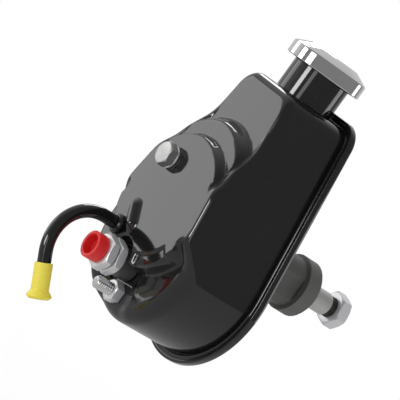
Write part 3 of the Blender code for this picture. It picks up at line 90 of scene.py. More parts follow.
# Meshes


def make_piece(name: str, verts: Array, faces: Sequence[Sequence[int]],
               shade: Shade = Shade.MOULDED) -> Piece:
    """Make a mesh object from points in millimetres.

    Args:
        name: The piece's name.
        verts: Points of the mesh, in millimetres in the part's frame.
        faces: Corner numbers of each face.
        shade: How sharply its edges show.

    Returns:
        The new object, linked to the scene.
    """
    mesh = bpy.data.meshes.new(name)
    mesh.from_pydata((np.asarray(verts, float) * MM).tolist(), [], [list(f) for f in faces])
    mesh.validate()
    mesh.shade_smooth()
    if shade is not Shade.SMOOTH:
        mesh.set_sharp_from_angle(angle=math.radians(shade.value))
    made = bpy.data.objects.new(name, mesh)
    bpy.context.collection.objects.link(made)
    return made


def ring_faces(rings: int, count: int, closed: bool = False) -> list[tuple[int, int, int, int]]:
    """Quads that bridge equal rings of points.

    Args:
        rings: Number of rings.
        count: Points in each ring.
        closed: Whether the last ring joins the first.

    Returns:
        The quads, by point number.
    """
    faces = []
    for row in range(rings if closed else rings - 1):
        low, high = row * count, ((row + 1) % rings) * count
        for k in range(count):
            after = (k + 1) % count
            faces.append((low + k, low + after, high + after, high + k))
    return faces


def end_faces(rings: int, count: int) -> list[tuple[int, ...]]:
    """Faces that close the first and the last of equal rings."""
    return [tuple(range(count))[::-1], tuple(range((rings - 1) * count, rings * count))]


def directions(count: int) -> Array:
    """Evenly spaced directions round a full turn, in radians."""
    return np.arange(count) * math.tau / count


def ring_points(place: Point, turns: Array, radii: Array | float,
                height: Array | float) -> Array:
    """Points round an axis that runs along +Y.

    Args:
        place: Where the axis stands, as X and Z.
        turns: Directions of the points.
        radii: Their distances from the axis.
        height: Their places along the axis.

    Returns:
        One row for each point.
    """
    return np.stack([place[0] + radii * np.cos(turns), np.broadcast_to(height, turns.shape),
                     place[1] + radii * np.sin(turns)], 1)


def axis_frame(direction: Vector) -> Array:
    """Directions that turn a profile about an axis.

    Args:
        direction: The axis.

    Returns:
        Two directions across the axis and the axis itself, as rows.
    """
    along = direction.normalized()
    helper = Vector((0.0, 0.0, 1.0)) if abs(along.z) < 0.9 else Vector((1.0, 0.0, 0.0))
    across = helper.cross(along).normalized()
    return np.array([across, along.cross(across), along])


def turned(name: str, profile: Sequence[Point], place: Sequence[float],
           direction: Sequence[float] = (0.0, 1.0, 0.0), count: int = 96,
           shade: Shade = Shade.MACHINED, closed: bool = True) -> Piece:
    """Turn a profile about an axis.

    Args:
        name: The piece's name.
        profile: Points as (radius, distance along the axis), in order.
        place: A point on the axis where the distance is 0.
        direction: The axis.
        count: Points round the axis.
        shade: How sharply its edges show.
        closed: Whether the profile closes on itself; otherwise its ends are capped.

    Returns:
        The turned piece.
    """
    across, beside, along = axis_frame(Vector(direction))
    turns = directions(count)
    circle = np.cos(turns)[:, None] * across + np.sin(turns)[:, None] * beside
    rings = [np.array(place) + circle * max(r, AXIS_GAP) + along * h for r, h in profile]
    faces = ring_faces(len(rings), count, closed)
    if not closed:
        faces += end_faces(len(rings), count)
    return make_piece(name, np.concatenate(rings), faces, shade)


def rounded(points: Sequence[Point], radius: float, steps: int = 4) -> list[Point]:
    """Round the inner corners of an open run of points.

    Args:
        points: The run's corners.
        radius: Most that each corner is rounded by.
        steps: Points along each rounding.

    Returns:
        The run with its corners replaced by short curves.
    """
    run = [points[0]]
    for before, corner, after in zip(points, points[1:], points[2:]):
        a, c, b = (np.array(p, float) for p in (before, corner, after))
        back, ahead = np.linalg.norm(a - c), np.linalg.norm(b - c)
        cut = min(radius, ROUNDED_SHARE * back, ROUNDED_SHARE * ahead)
        start = c + (a - c) / back * cut
        end = c + (b - c) / ahead * cut
        for k in range(steps + 1):
            t = k / steps
            run.append(tuple((1 - t) ** 2 * start + 2 * t * (1 - t) * c + t ** 2 * end))
    run.append(points[-1])
    return run


def hex_radius(turns: Array, flats: float, turn: float, soften: float) -> Array:
    """Distance from the axis to a hexagon's side.

    Args:
        turns: Directions round the axis.
        flats: Width across the flats.
        turn: Direction of one corner.
        soften: Share by which the corners are cut back.

    Returns:
        The distances.
    """
    share = np.mod(turns - turn + math.pi / 6, math.pi / 3) - math.pi / 6
    radius = flats * 0.5 / np.cos(np.pi / 6 - np.abs(share))
    return np.minimum(radius, flats / math.sqrt(3.0) * (1.0 - soften))


@dataclass
class HexBody:
    """One hexagonal section with its far end crowned, and its near end if asked."""

    name: str
    flats: float
    start: float
    end: float
    turn: float
    bore: float = 0.0
    crown_start: bool = True
    place: Point = (0.0, 0.0)
    soften: float = 0.012
    land: float = 0.485
    land_edge: Point = (0.995, 0.01)
    slope: float = math.tan(math.radians(30.0))
    edge: float = 0.12
    least_bore: float = 1e-3
    count: int = 144

    def build(self) -> Piece:
        """Make the section along +Y.

        Returns:
            The hexagonal piece.
        """
        turns = directions(self.count)
        side = hex_radius(turns, self.flats, self.turn, self.soften)
        land = self.flats * self.land
        fall = np.maximum(side - land, 0.0) * self.slope
        low = self.start + fall * self.crown_start
        high = self.end - fall
        hole = max(self.bore, self.least_bore)
        inner, step, edge = land * self.land_edge[0], self.land_edge[1], self.edge
        rows = [(hole, self.start), (inner, self.start), (land, self.start + step),
                (side - edge, low), (side, low + edge), (side, high - edge),
                (side - edge, high), (land, self.end - step), (inner, self.end),
                (hole, self.end)]
        verts = [ring_points(self.place, turns, radii, height) for radii, height in rows]
        return make_piece(self.name, np.concatenate(verts),
                          ring_faces(len(rows), self.count, True), Shade.MACHINED)


@dataclass
class Thread:
    """A bar with a real helical thread, with its ends run out."""

    name: str
    radius: float
    depth: float
    pitch: float
    start: float
    end: float
    place: Point = (0.0, 0.0)
    run_out: float = 1.4
    crest: Point = (1.35, 0.12)
    count: int = 48
    per_pitch: int = 8

    def build(self) -> Piece:
        """Make the threaded bar along +Y.

        Returns:
            The threaded piece.
        """
        turns = directions(self.count)
        rows = int((self.end - self.start) / self.pitch * self.per_pitch) + 1
        chamfer = self.depth * self.run_out
        gain, cut = self.crest
        rings = []
        for height in np.linspace(self.start, self.end, rows):
            phase = np.mod(height / self.pitch - turns / math.tau, 1.0)
            crest = np.clip(gain * (1.0 - np.abs(2.0 * phase - 1.0)) - cut, 0.0, 1.0)
            radius = self.radius - self.depth * (1.0 - crest)
            near = min(height - self.start, self.end - height)
            radius = np.minimum(radius, self.radius - chamfer + min(near, chamfer))
            rings.append(ring_points(self.place, turns, radius, height))
        faces = ring_faces(rows, self.count) + end_faces(rows, self.count)
        return make_piece(self.name, np.concatenate(rings), faces, Shade.MACHINED)


def ease(value: Array) -> Array:
    """Smooth step from 0 to 1."""
    value = np.clip(value, 0.0, 1.0)
    return value * value * (3.0 - 2.0 * value)


def side_share(turn: Array, side: Triple) -> Array:
    """Rise from 0 to 1 over one side of the can, and fall again.

    Args:
        turn: Directions, in degrees.
        side: The side's start, end and ramp, in degrees.

    Returns:
        The share at each direction.
    """
    start, end, ramp = side
    return ease((turn - start) / ramp) * ease((end - turn) / ramp)


def cut_away(target: Piece, tool: Piece, shade: Shade) -> None:
    """Cut a tool from a piece, remove the tool, and mark the sharp edges again.

    Args:
        target: The piece to cut.
        tool: A closed mesh.
        shade: How sharply the piece's edges show.
    """
    step = target.modifiers.new("cut", 'BOOLEAN')
    step.operation = 'DIFFERENCE'
    step.solver = 'MANIFOLD'
    step.object = tool
    bpy.context.view_layer.update()
    shaped = bpy.data.meshes.new_from_object(
        target.evaluated_get(bpy.context.evaluated_depsgraph_get()))
    target.modifiers.clear()
    target.data = shaped
    bpy.data.objects.remove(tool, do_unlink=True)
    shaped.shade_smooth()
    shaped.set_sharp_from_angle(angle=math.radians(shade.value))


# Shared effects, as node groups

RAISED = (0.505, 0.56)
PITTED = (0.38, 0.66)
SPECKS = (0.70, 0.78)
COARSE = 0.22
DUST_COLOUR = (0.35, 0.34, 0.32, 1.0)
DUST_SCALE = 420.0
DUST_DULL = 0.4
COAT_ROUGHNESS = 0.03
GRAIN_DARK = 0.72
GRAIN_SHARE = 0.5
BUMP_HEIGHT = 0.001
BUMP_SHARE = 0.5


class NodeMaker:
    """Short ways to place and join shader nodes in one tree."""

    def __init__(self, tree: bpy.types.NodeTree) -> None:
        """Keep the tree that the nodes go into."""
        self.tree = tree
        self.column = 0

    def add(self, kind: str, **settings: object) -> Node:
        """Add a node and set its properties.

        Args:
            kind: The node's type name.
            settings: Properties of the node.

        Returns:
            The new node.
        """
        node = self.tree.nodes.new(kind)
        node.location = (200 * (self.column % 8), -220 * (self.column // 8))
        self.column += 1
        for key, value in settings.items():
            setattr(node, key, value)
        return node

    def link(self, source: Socket, target: Socket) -> None:
        """Join two sockets."""
        self.tree.links.new(source, target)

    def blend(self, share: Socket, first: Node, second: Node) -> Node:
        """Mix the shaders of two nodes.

        Args:
            share: How much of the second shader shows.
            first: A node that puts out a shader.
            second: Another such node.

        Returns:
            The mixing node.
        """
        node = self.add("ShaderNodeMixShader")
        for index, source in enumerate((share, first.outputs[0], second.outputs[0])):
            self.link(source, node.inputs[index])
        return node

    def value(self, node: Node, socket: str | int, what: object) -> None:
        """Set a socket to a number or colour, or join it to another socket.

        Args:
            node: The node.
            socket: The socket's name or number.
            what: The number, colour or other socket.
        """
        target = node.inputs[socket]
        if isinstance(what, Socket):
            self.link(what, target)
        else:
            target.default_value = what

    def noise(self, scale: object, detail: float = 4.0, roughness: float = 0.55,
              stretch: Sequence[float] | None = None) -> Socket:
        """Noise over the object's own coordinates.

        Args:
            scale: Its scale, as a number or a socket.
            detail: Its detail.
            roughness: Its roughness.
            stretch: How the coordinates are stretched first.

        Returns:
            The noise's value socket.
        """
        coordinates = self.add("ShaderNodeTexCoord").outputs["Object"]
        if stretch is not None:
            mapping = self.add("ShaderNodeMapping")
            self.link(coordinates, mapping.inputs["Vector"])
            mapping.inputs["Scale"].default_value = stretch
            coordinates = mapping.outputs["Vector"]
        noise = self.add("ShaderNodeTexNoise")
        for socket, what in (("Vector", coordinates), ("Scale", scale), ("Detail", detail),
                             ("Roughness", roughness)):
            self.value(noise, socket, what)
        return noise.outputs["Fac"]

    def math(self, kind: str, *values: object) -> Socket:
        """One arithmetic step.

        Args:
            kind: The operation.
            values: Its numbers or sockets.

        Returns:
            The result's socket.
        """
        node = self.add("ShaderNodeMath", operation=kind)
        for index, what in enumerate(values):
            self.value(node, index, what)
        return node.outputs[0]

    def ramp(self, source: Socket, low: float, high: float) -> Socket:
        """Map a value from low..high to 0..1, clamped.

        Args:
            source: The value's socket.
            low: What becomes 0.
            high: What becomes 1.

        Returns:
            The result's socket.
        """
        node = self.add("ShaderNodeMapRange")
        self.link(source, node.inputs["Value"])
        node.inputs["From Min"].default_value = low
        node.inputs["From Max"].default_value = high
        return node.outputs["Result"]

    def mix(self, share: object, first: object, second: object) -> Socket:
        """Mix two colours by a share.

        Args:
            share: How much of the second colour shows.
            first: A colour or socket.
            second: A colour or socket.

        Returns:
            The mixed colour's socket.
        """
        node = self.add("ShaderNodeMix", data_type='RGBA')
        for index, what in ((0, share), (6, first), (7, second)):
            self.value(node, index, what)
        return node.outputs[2]


@dataclass(frozen=True)
class Effect:
    """A shader node group that several finishes use."""

    name: str
    inputs: tuple[tuple[str, float], ...]
    outputs: tuple[str, ...]
    fill: Callable[[NodeMaker, Sockets, Sockets], None]

    def tree(self) -> bpy.types.NodeTree:
        """Return the group, making it the first time.

        Returns:
            The node group.
        """
        made = bpy.data.node_groups.get(self.name)
        if made is not None:
            return made
        made = bpy.data.node_groups.new(self.name, "ShaderNodeTree")
        for name, value in self.inputs:
            socket = made.interface.new_socket(name, in_out='INPUT',
                                               socket_type="NodeSocketFloat")
            socket.default_value = value
        for name in self.outputs:
            made.interface.new_socket(name, in_out='OUTPUT', socket_type="NodeSocketFloat")
        maker = NodeMaker(made)
        self.fill(maker, maker.add("NodeGroupInput").outputs,
                  maker.add("NodeGroupOutput").inputs)
        return made


def fill_wear(maker: NodeMaker, given: Sockets, out: Sockets) -> None:
    """Brighter metal on raised edges, broken up by noise.

    Args:
        maker: Places the nodes.
        given: The group's inputs.
        out: The group's outputs.
    """
    point = maker.add("ShaderNodeNewGeometry").outputs["Pointiness"]
    broken = maker.math('MULTIPLY', maker.ramp(point, *RAISED),
                        maker.noise(given["Scale"], 6.0, 0.7))
    maker.link(maker.math('MULTIPLY', broken, given["Amount"]), out["Mask"])


def fill_film(maker: NodeMaker, given: Sockets, out: Sockets) -> None:
    """Cloudy variation of gloss, as left by handling and polishing.

    Args:
        maker: Places the nodes.
        given: The group's inputs.
        out: The group's outputs.
    """
    cloud = maker.noise(given["Scale"], 3.0, 0.5)
    spread = maker.math('MULTIPLY_ADD', cloud, given["Spread"], given["Base"])
    maker.link(spread, out["Roughness"])
    maker.link(cloud, out["Cloud"])


def fill_grain(maker: NodeMaker, given: Sockets, out: Sockets) -> None:
    """Fine pitted grain of a casting or a moulding.

    Args:
        maker: Places the nodes.
        given: The group's inputs.
        out: The group's outputs.
    """
    fine = maker.noise(given["Scale"], 8.0, 0.65)
    coarse = maker.noise(maker.math('MULTIPLY', given["Scale"], COARSE), 3.0, 0.5)
    height = maker.math('MULTIPLY_ADD', coarse, 0.5, fine)
    maker.link(height, out["Height"])
    maker.link(maker.ramp(fine, *PITTED), out["Mask"])


def fill_dust(maker: NodeMaker, given: Sockets, out: Sockets) -> None:
    """Sparse specks that settle on a finish.

    Args:
        maker: Places the nodes.
        given: The group's inputs.
        out: The group's outputs.
    """
    speck = maker.noise(given["Scale"], 2.0, 0.5)
    maker.link(maker.math('MULTIPLY', maker.ramp(speck, *SPECKS),
                          given["Amount"]), out["Mask"])


WEAR = Effect("edge_wear", (("Scale", 900.0), ("Amount", 0.6)), ("Mask",), fill_wear)
FILM = Effect("handling_film", (("Scale", 30.0), ("Spread", 0.08), ("Base", 0.1)),
              ("Roughness", "Cloud"), fill_film)
GRAIN = Effect("cast_grain", (("Scale", 900.0),), ("Height", "Mask"), fill_grain)
DUST = Effect("fine_dust", (("Scale", 500.0), ("Amount", 0.3)), ("Mask",), fill_dust)


@dataclass(frozen=True)
class Finish:
    """A finish made of a base colour, a second colour, gloss, grain and wear."""

    name: str
    slot: Slot
    colour: Colour
    second: Colour
    worn: Colour
    roughness: float
    spread: float
    metallic: float = 0.0
    coat: float = 0.0
    film_scale: float = 30.0
    grain_scale: float = 900.0
    grain_depth: float = 0.0
    wear: float = 0.0
    dust: float = 0.0
    lay: Sequence[float] | None = None
    lay_depth: float = 0.0

    def place(self, maker: NodeMaker, effect: Effect, **values: float) -> Node:
        """Place one shared effect.

        Args:
            maker: Places the nodes.
            effect: The effect.
            values: Its inputs.

        Returns:
            The group's node.
        """
        node = maker.add("ShaderNodeGroup", node_tree=effect.tree())
        for name, value in values.items():
            node.inputs[name].default_value = value
        return node

    def material(self) -> bpy.types.Material:
        """Return the material, making it the first time.

        Returns:
            The procedural material.
        """
        made = bpy.data.materials.get("look_" + self.name)
        if made is not None:
            return made
        made = bpy.data.materials.new("look_" + self.name)
        made.use_nodes = True
        maker = NodeMaker(made.node_tree)
        shader = made.node_tree.nodes["Principled BSDF"]
        film = self.place(maker, FILM, Scale=self.film_scale, Spread=self.spread,
                          Base=self.roughness)
        grain = self.place(maker, GRAIN, Scale=self.grain_scale)
        colour = maker.mix(film.outputs["Cloud"], (*self.colour, 1.0), (*self.second, 1.0))
        roughness = film.outputs["Roughness"]
        if self.grain_depth > 0.0:
            darker = tuple(c * GRAIN_DARK for c in self.colour)
            share = maker.math('MULTIPLY', grain.outputs["Mask"], GRAIN_SHARE)
            colour = maker.mix(share, colour, (*darker, 1.0))
        if self.wear > 0.0:
            worn = self.place(maker, WEAR, Scale=self.grain_scale, Amount=self.wear)
            colour = maker.mix(worn.outputs["Mask"], colour, (*self.worn, 1.0))
        if self.dust > 0.0:
            dust = self.place(maker, DUST, Scale=DUST_SCALE, Amount=self.dust)
            colour = maker.mix(dust.outputs["Mask"], colour, DUST_COLOUR)
            roughness = maker.math('MULTIPLY_ADD', dust.outputs["Mask"], DUST_DULL, roughness)
        for socket, what in (("Base Color", colour), ("Roughness", roughness),
                             ("Metallic", self.metallic), ("Coat Weight", self.coat),
                             ("Coat Roughness", COAT_ROUGHNESS)):
            maker.value(shader, socket, what)
        height = None
        if self.grain_depth > 0.0:
            height = maker.math('MULTIPLY', grain.outputs["Height"], self.grain_depth)
        if self.lay is not None:
            lines = maker.noise(1.0, 2.0, 0.5, self.lay)
            lines = maker.math('MULTIPLY', lines, self.lay_depth)
            height = lines if height is None else maker.math('ADD', height, lines)
        if height is not None:
            bump = maker.add("ShaderNodeBump")
            maker.link(height, bump.inputs["Height"])
            bump.inputs["Distance"].default_value = BUMP_HEIGHT
            bump.inputs["Strength"].default_value = BUMP_SHARE
            maker.link(bump.outputs["Normal"], shader.inputs["Normal"])
        return made


ENAMEL = Finish("gloss_enamel", Slot.ENAMEL, (0.0060, 0.0060, 0.0062), (0.0085, 0.0085, 0.0086),
                (0.03, 0.03, 0.03), 0.06, 0.05, coat=0.35, film_scale=22.0,
                grain_scale=260.0, grain_depth=0.012, dust=0.05)
CASTING = Finish("dark_casting", Slot.CASTING, (0.125, 0.125, 0.121), (0.090, 0.090, 0.087),
                 (0.20, 0.20, 0.19), 0.42, 0.16, metallic=0.45, film_scale=60.0,
                 grain_scale=1400.0, grain_depth=0.16, wear=0.5)
CHROME = Finish("chrome_plate", Slot.CHROME, (0.84, 0.84, 0.85), (0.79, 0.79, 0.80),
                (0.9, 0.9, 0.9), 0.035, 0.03, metallic=1.0, film_scale=40.0, dust=0.02)
ZINC = Finish("zinc_plate", Slot.ZINC, (0.80, 0.80, 0.81), (0.68, 0.69, 0.72),
              (0.9, 0.9, 0.9), 0.24, 0.14, metallic=0.55, film_scale=160.0,
              grain_scale=1800.0, grain_depth=0.05, wear=0.3)
BOLT_ZINC = Finish("bolt_zinc", Slot.ZINC, (0.44, 0.44, 0.43), (0.36, 0.36, 0.36),
                   (0.8, 0.8, 0.8), 0.26, 0.14, metallic=0.7, film_scale=180.0,
                   grain_scale=1500.0, grain_depth=0.10, wear=0.5)
STEEL = Finish("ground_steel", Slot.STEEL, (0.60, 0.60, 0.58), (0.50, 0.50, 0.49),
               (0.8, 0.8, 0.8), 0.24, 0.14, metallic=0.7, film_scale=120.0,
               grain_scale=1600.0, grain_depth=0.04, lay=(60.0, 5200.0, 60.0), lay_depth=0.10)
BLACKED = Finish("blacked_thread", Slot.STEEL, (0.060, 0.058, 0.056), (0.11, 0.105, 0.10),
                 (0.4, 0.4, 0.4), 0.34, 0.2, metallic=0.8, film_scale=300.0,
                 grain_scale=1500.0, grain_depth=0.06, wear=0.6)
SPRING = Finish("spring_steel", Slot.SPRING, (0.24, 0.24, 0.25), (0.18, 0.18, 0.20),
                (0.5, 0.5, 0.5), 0.30, 0.15, metallic=1.0, film_scale=200.0,
                grain_scale=1600.0, grain_depth=0.05, wear=0.3)
BRONZE = Finish("bearing_bronze", Slot.BRONZE, (0.46, 0.30, 0.14), (0.38, 0.24, 0.11),
                (0.7, 0.5, 0.25), 0.34, 0.14, metallic=1.0, film_scale=120.0,
                grain_scale=1600.0, grain_depth=0.08, wear=0.3)
RUBBER = Finish("black_rubber", Slot.RUBBER, (0.016, 0.016, 0.016), (0.024, 0.024, 0.023),
                (0.05, 0.05, 0.05), 0.62, 0.16, film_scale=90.0, grain_scale=1500.0,
                grain_depth=0.10, dust=0.2)
RED = Finish("red_plastic", Slot.RED, (0.62, 0.010, 0.012), (0.70, 0.016, 0.016),
             (0.8, 0.1, 0.08), 0.30, 0.14, film_scale=110.0, grain_scale=1100.0,
             grain_depth=0.05, dust=0.04)
YELLOW = Finish("yellow_vinyl", Slot.YELLOW, (0.72, 0.60, 0.045), (0.80, 0.68, 0.075),
                (0.9, 0.8, 0.2), 0.32, 0.16, film_scale=90.0, grain_scale=1100.0,
                grain_depth=0.05, dust=0.04)


def dress(piece: Piece, finish: Finish, body: str, *nodes: str) -> None:
    """Give a new piece its finish and body, and let it stand for solids.

    Args:
        piece: The new piece.
        finish: Its finish.
        body: The body it rides on.
        nodes: The solids it stands for.
    """
    piece.data.materials.clear()
    piece.data.materials.append(finish.material())
    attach(piece, body)
    if nodes:
        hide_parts(*nodes)
    LOG.info("%s: %d faces, rides on %s", piece.name, len(piece.data.polygons), body)


def on_axis(place: Point, along: float = 0.0) -> Triple:
    """Point of an axis that runs along +Y."""
    return place[0], along, place[1]


# Sub-assemblies


@dataclass
class Reservoir:
    """Deep-drawn can with its folded front plate and filler neck."""

    bottom_radius: float = 57.0
    bottom_drop: float = 26.6
    top_height: float = 108.5
    corner_offset: float = 20.4
    corner_radius: float = 12.0
    sheet: float = 2.0
    lip: float = 4.6
    lip_bend: float = 1.6
    rear_depth: float = 58.8
    crescent_depth: float = 62.0
    far_depth: float = 68.0
    near_side: Triple = (97.0, 176.0, 12.0)
    far_side: Triple = (4.0, 82.0, 16.0)
    stud_side: Triple = (68.0, 112.0, 8.0)
    dome_depth: float = 68.5
    dome_height: float = 19.5
    dome_top: float = 47.0
    dome_base: float = 53.4
    plateau_depth: float = 74.8
    plateau_height: float = 2.5
    plateau_top: float = 48.5
    plateau_side: float = 3.2
    wall_fillet: float = 7.5
    tight_fillet: float = 4.2
    bottom_fillet: float = 11.0
    fillet_turn: float = 7.0
    edge_blend: float = 4.0
    blend_turn: float = 12.0
    pocket: Triple = (6.0, -49.5, 18.0)
    pocket_side: float = 3.4
    pocket_far_side: float = 2.2
    pocket_near_reach: float = 19.0
    step_drop: float = 1.8
    step_radius: float = 40.0
    step_side: float = 1.4
    step_turn: Triple = (211.0, 255.0, 5.0)
    rib_start: Point = (21.0, -14.3)
    rib_end: Point = (12.6, -24.6)
    rib_half: float = 7.4
    rib_side: float = 6.6
    rib_rise: float = 3.8
    gusset_turn: float = 211.5
    gusset_width: float = 2.4
    gusset_length: float = 9.0
    gusset_lead: float = 1.0
    gusset_tip: float = 0.05
    neck_centre: float = 28.0
    neck_radius: float = 21.5
    neck_wall: float = 1.5
    neck_top: float = 134.0
    neck_gap: float = 0.3
    neck_bend: float = 1.2
    neck_mouth: float = 16.5
    slot_half: Point = (19.4, 5.7)
    slot_reach: float = 4.0
    cut_reach: float = 8.0
    front_hole: float = 47.8
    hem_gap: float = 0.3
    hem_lap: float = 1.2
    hem_bend: float = 0.9
    hem_share: float = 0.6
    front_rays: int = 480
    normals: int = 2880
    least_facing: float = 0.05
    rays: int = 640
    rings: int = 96
    inside_rings: int = 28
    centre_gap: float = 0.02
    wall_rings: int = 6
    fillet_rings: int = 13
    bend_rings: int = 5

    def reach(self, turns: Array, inset: float) -> Array:
        """Distance from the plateau's centre to the can's outline.

        Args:
            turns: Directions, in radians.
            inset: How far inside the outline.

        Returns:
            The distances.
        """
        normals = directions(self.normals)
        support = np.full(normals.shape, -math.inf)
        top = self.top_height - self.corner_radius
        for x, z, r in ((0.0, -self.bottom_drop, self.bottom_radius),
                        (self.corner_offset, top, self.corner_radius),
                        (-self.corner_offset, top, self.corner_radius)):
            support = np.maximum(support, x * np.cos(normals)
                                 + (z - self.plateau_height) * np.sin(normals) + r)
        facing = np.cos(turns[:, None] - normals[None, :])
        spans = (support - inset)[None, :] / np.maximum(facing, self.least_facing)
        return np.where(facing > self.least_facing, spans, math.inf).min(1)

    def depth(self, x: Array, z: Array) -> Array:
        """Depth of the drawn rear behind the flange plane.

        Args:
            x: Places across the can.
            z: Heights.

        Returns:
            The depths.
        """
        from_dome = np.hypot(x, z - self.dome_height)
        dx, dz = x, z - self.plateau_height
        from_plateau = np.hypot(dx, dz)
        turn = np.degrees(np.arctan2(dz, dx)) % 360.0
        below = -np.degrees(np.arctan2(dz, dx))
        from_port = np.hypot(x - self.pocket[0], z - self.pocket[1])
        open_pocket = ease((from_port - self.pocket[2] + self.pocket_side) / self.pocket_side)
        low = (self.rear_depth
               + (self.crescent_depth - self.rear_depth) * side_share(below, self.near_side)
               + (self.far_depth - self.rear_depth) * side_share(below, self.far_side))
        beside = x - self.pocket[0]
        beside = np.where(beside < 0.0, beside * self.pocket[2] / self.pocket_near_reach, beside)
        floor_gap = np.hypot(beside, z - self.pocket[1])
        low += (self.rear_depth - low) * ease((self.pocket[2] - floor_gap) / self.pocket_far_side)
        dome = ease((self.dome_base - from_dome) / (self.dome_base - self.dome_top))
        plateau = ease((self.plateau_top + self.plateau_side - from_plateau) / self.plateau_side)
        dome = np.maximum(dome, plateau)
        depth = (low + (self.dome_depth - low) * dome * open_pocket
                 + (self.plateau_depth - self.dome_depth) * plateau * open_pocket)
        lower = (ease((from_plateau - self.step_radius) / self.step_side)
                 * side_share(turn, self.step_turn))
        depth -= self.step_drop * lower * plateau * open_pocket
        along = from_plateau - self.step_radius + self.gusset_lead
        across = from_plateau * np.radians(turn - self.gusset_turn)
        width = np.maximum(self.gusset_width * along / self.gusset_length, self.gusset_tip)
        point = ease(1.0 - np.abs(across) / width) * (along > 0.0)
        depth += self.step_drop * point * lower * plateau
        start, end = np.array(self.rib_start), np.array(self.rib_end)
        run = end - start
        share = np.clip(((x - start[0]) * run[0] + (z - start[1]) * run[1]) / (run @ run), 0, 1)
        gap = np.hypot(x - start[0] - share * run[0], z - start[1] - share * run[1])
        depth += self.rib_rise * ease((self.rib_half - gap) / self.rib_side)
        return depth

    def fillets(self, below: Array, wall: Array) -> Array:
        """Radius of the fillet between the rear and the wall.

        Args:
            below: Directions of the rays, in degrees below +X.
            wall: Distance to the wall along each ray.

        Returns:
            The radius on each ray.
        """
        largest = (self.wall_fillet
                   + (self.bottom_fillet - self.wall_fillet) * side_share(below, self.near_side))
        room = np.maximum(wall - self.plateau_top, self.tight_fillet)
        return self.spread(np.minimum(room, largest), self.fillet_turn)

    def spread(self, values: Array, degrees: float) -> Array:
        """Mean of each ray's value with its neighbours on both sides.

        Args:
            values: One value for each ray, all the way round.
            degrees: How far the mean reaches on each side.

        Returns:
            The smoothed values.
        """
        half = int(round(degrees / 360.0 * len(values)))
        kernel = np.hanning(2 * half + 3)[1:-1]
        padded = np.concatenate([values[-half:], values, values[:half]])
        return np.convolve(padded, kernel / kernel.sum(), mode="valid")

    def ring(self, turns: Array, radii: Array, depths: Array) -> Array:
        """Points of one ring about the plateau's centre."""
        return ring_points((0.0, self.plateau_height), turns, radii, FLANGE + depths)

    def skin(self, turns: Array, inset: float, rings: int) -> list[Array]:
        """Rings of one face of the sheet, from the flange to the middle.

        Args:
            turns: Directions of the rays.
            inset: Distance in from the outer face.
            rings: Number of rings on the drawn rear.

        Returns:
            The rings.
        """
        wall = self.reach(turns, 0.0)
        below = -np.degrees(np.arctan2(np.sin(turns), np.cos(turns)))
        fillet = self.fillets(below, wall)
        edge = wall - fillet
        level = self.depth(edge * np.cos(turns), self.plateau_height + edge * np.sin(turns))
        even = self.spread(level, self.blend_turn)
        level = even + (level - even) * side_share(below, self.stud_side)
        arc = fillet - inset
        made = []
        start = self.sheet + self.lip_bend if inset == 0.0 else 0.0
        for share in np.linspace(0.0, 1.0, self.wall_rings, endpoint=False):
            made.append((wall - inset, start + (level - fillet - start) * share))
        for angle in np.linspace(0.0, math.pi / 2, self.fillet_rings):
            made.append((edge + arc * math.cos(angle), level - fillet + arc * math.sin(angle)))
        for share in np.linspace(1.0, 0.0, rings)[1:]:
            radii = np.maximum(edge * share, self.centre_gap)
            height = self.depth(radii * np.cos(turns),
                                self.plateau_height + radii * np.sin(turns))
            height += (level - height) * ease((radii - edge) / self.edge_blend + 1.0)
            made.append((radii, height - inset))
        return [self.ring(turns, radii, depths) for radii, depths in made]

    def build_can(self) -> Piece:
        """Make the can as one closed sheet with a lip and the neck's opening.

        Returns:
            The can.
        """
        turns = directions(self.rays)
        wall = self.reach(turns, 0.0)
        lip = [self.ring(turns, wall + self.lip, depth) for depth in (0.0, self.sheet)]
        for angle in np.linspace(0.0, math.pi / 2, self.bend_rings, endpoint=False):
            lip.append(self.ring(turns, wall + self.lip_bend * (1.0 - math.sin(angle)),
                                 self.sheet + self.lip_bend * (1.0 - math.cos(angle))))
        rings = (self.skin(turns, self.sheet, self.inside_rings)[::-1] + lip
                 + self.skin(turns, 0.0, self.rings))
        faces = ring_faces(len(rings), self.rays) + end_faces(len(rings), self.rays)
        can = make_piece("reservoir_can_drawn", np.concatenate(rings), faces)
        bore, reach = self.neck_radius - self.neck_wall, self.cut_reach
        opening = turned("neck_opening",
                         [(0.0, -reach), (bore, -reach), (bore, reach), (0.0, reach)],
                         (0.0, FLANGE + self.neck_centre, self.top_height), (0, 0, 1),
                         closed=False)
        cut_away(can, opening, Shade.MOULDED)
        return can

    def build_front_plate(self) -> Piece:
        """Make the front stamping with its hem folded round the lip.

        Returns:
            The front plate.
        """
        turns = directions(self.front_rays)
        thick = self.sheet * self.hem_share
        back, outer = self.sheet + self.hem_gap, self.lip + self.hem_gap
        fold, wide = self.lip - self.hem_lap, outer + thick
        near, far = -self.hem_gap, -self.hem_gap - self.sheet
        run = rounded([(fold, back), (fold, back + thick), (wide, back + thick), (wide, far)],
                      self.hem_bend, 6)
        run = [(outer, near), (outer, back), *run[:-1], (wide, far + 1.1),
               (outer + thick * 0.7, far + 0.4), (outer, far)]
        rise = self.plateau_height
        hole = (-rise * np.sin(turns)
                + np.sqrt(self.front_hole ** 2 - (rise * np.cos(turns)) ** 2))
        rings = [(hole, near), *((self.reach(turns, -reach), depth) for reach, depth in run),
                 (hole, far)]
        verts = [self.ring(turns, radii, depth) for radii, depth in rings]
        return make_piece("reservoir_front_stamping", np.concatenate(verts),
                          ring_faces(len(verts), len(turns), True))

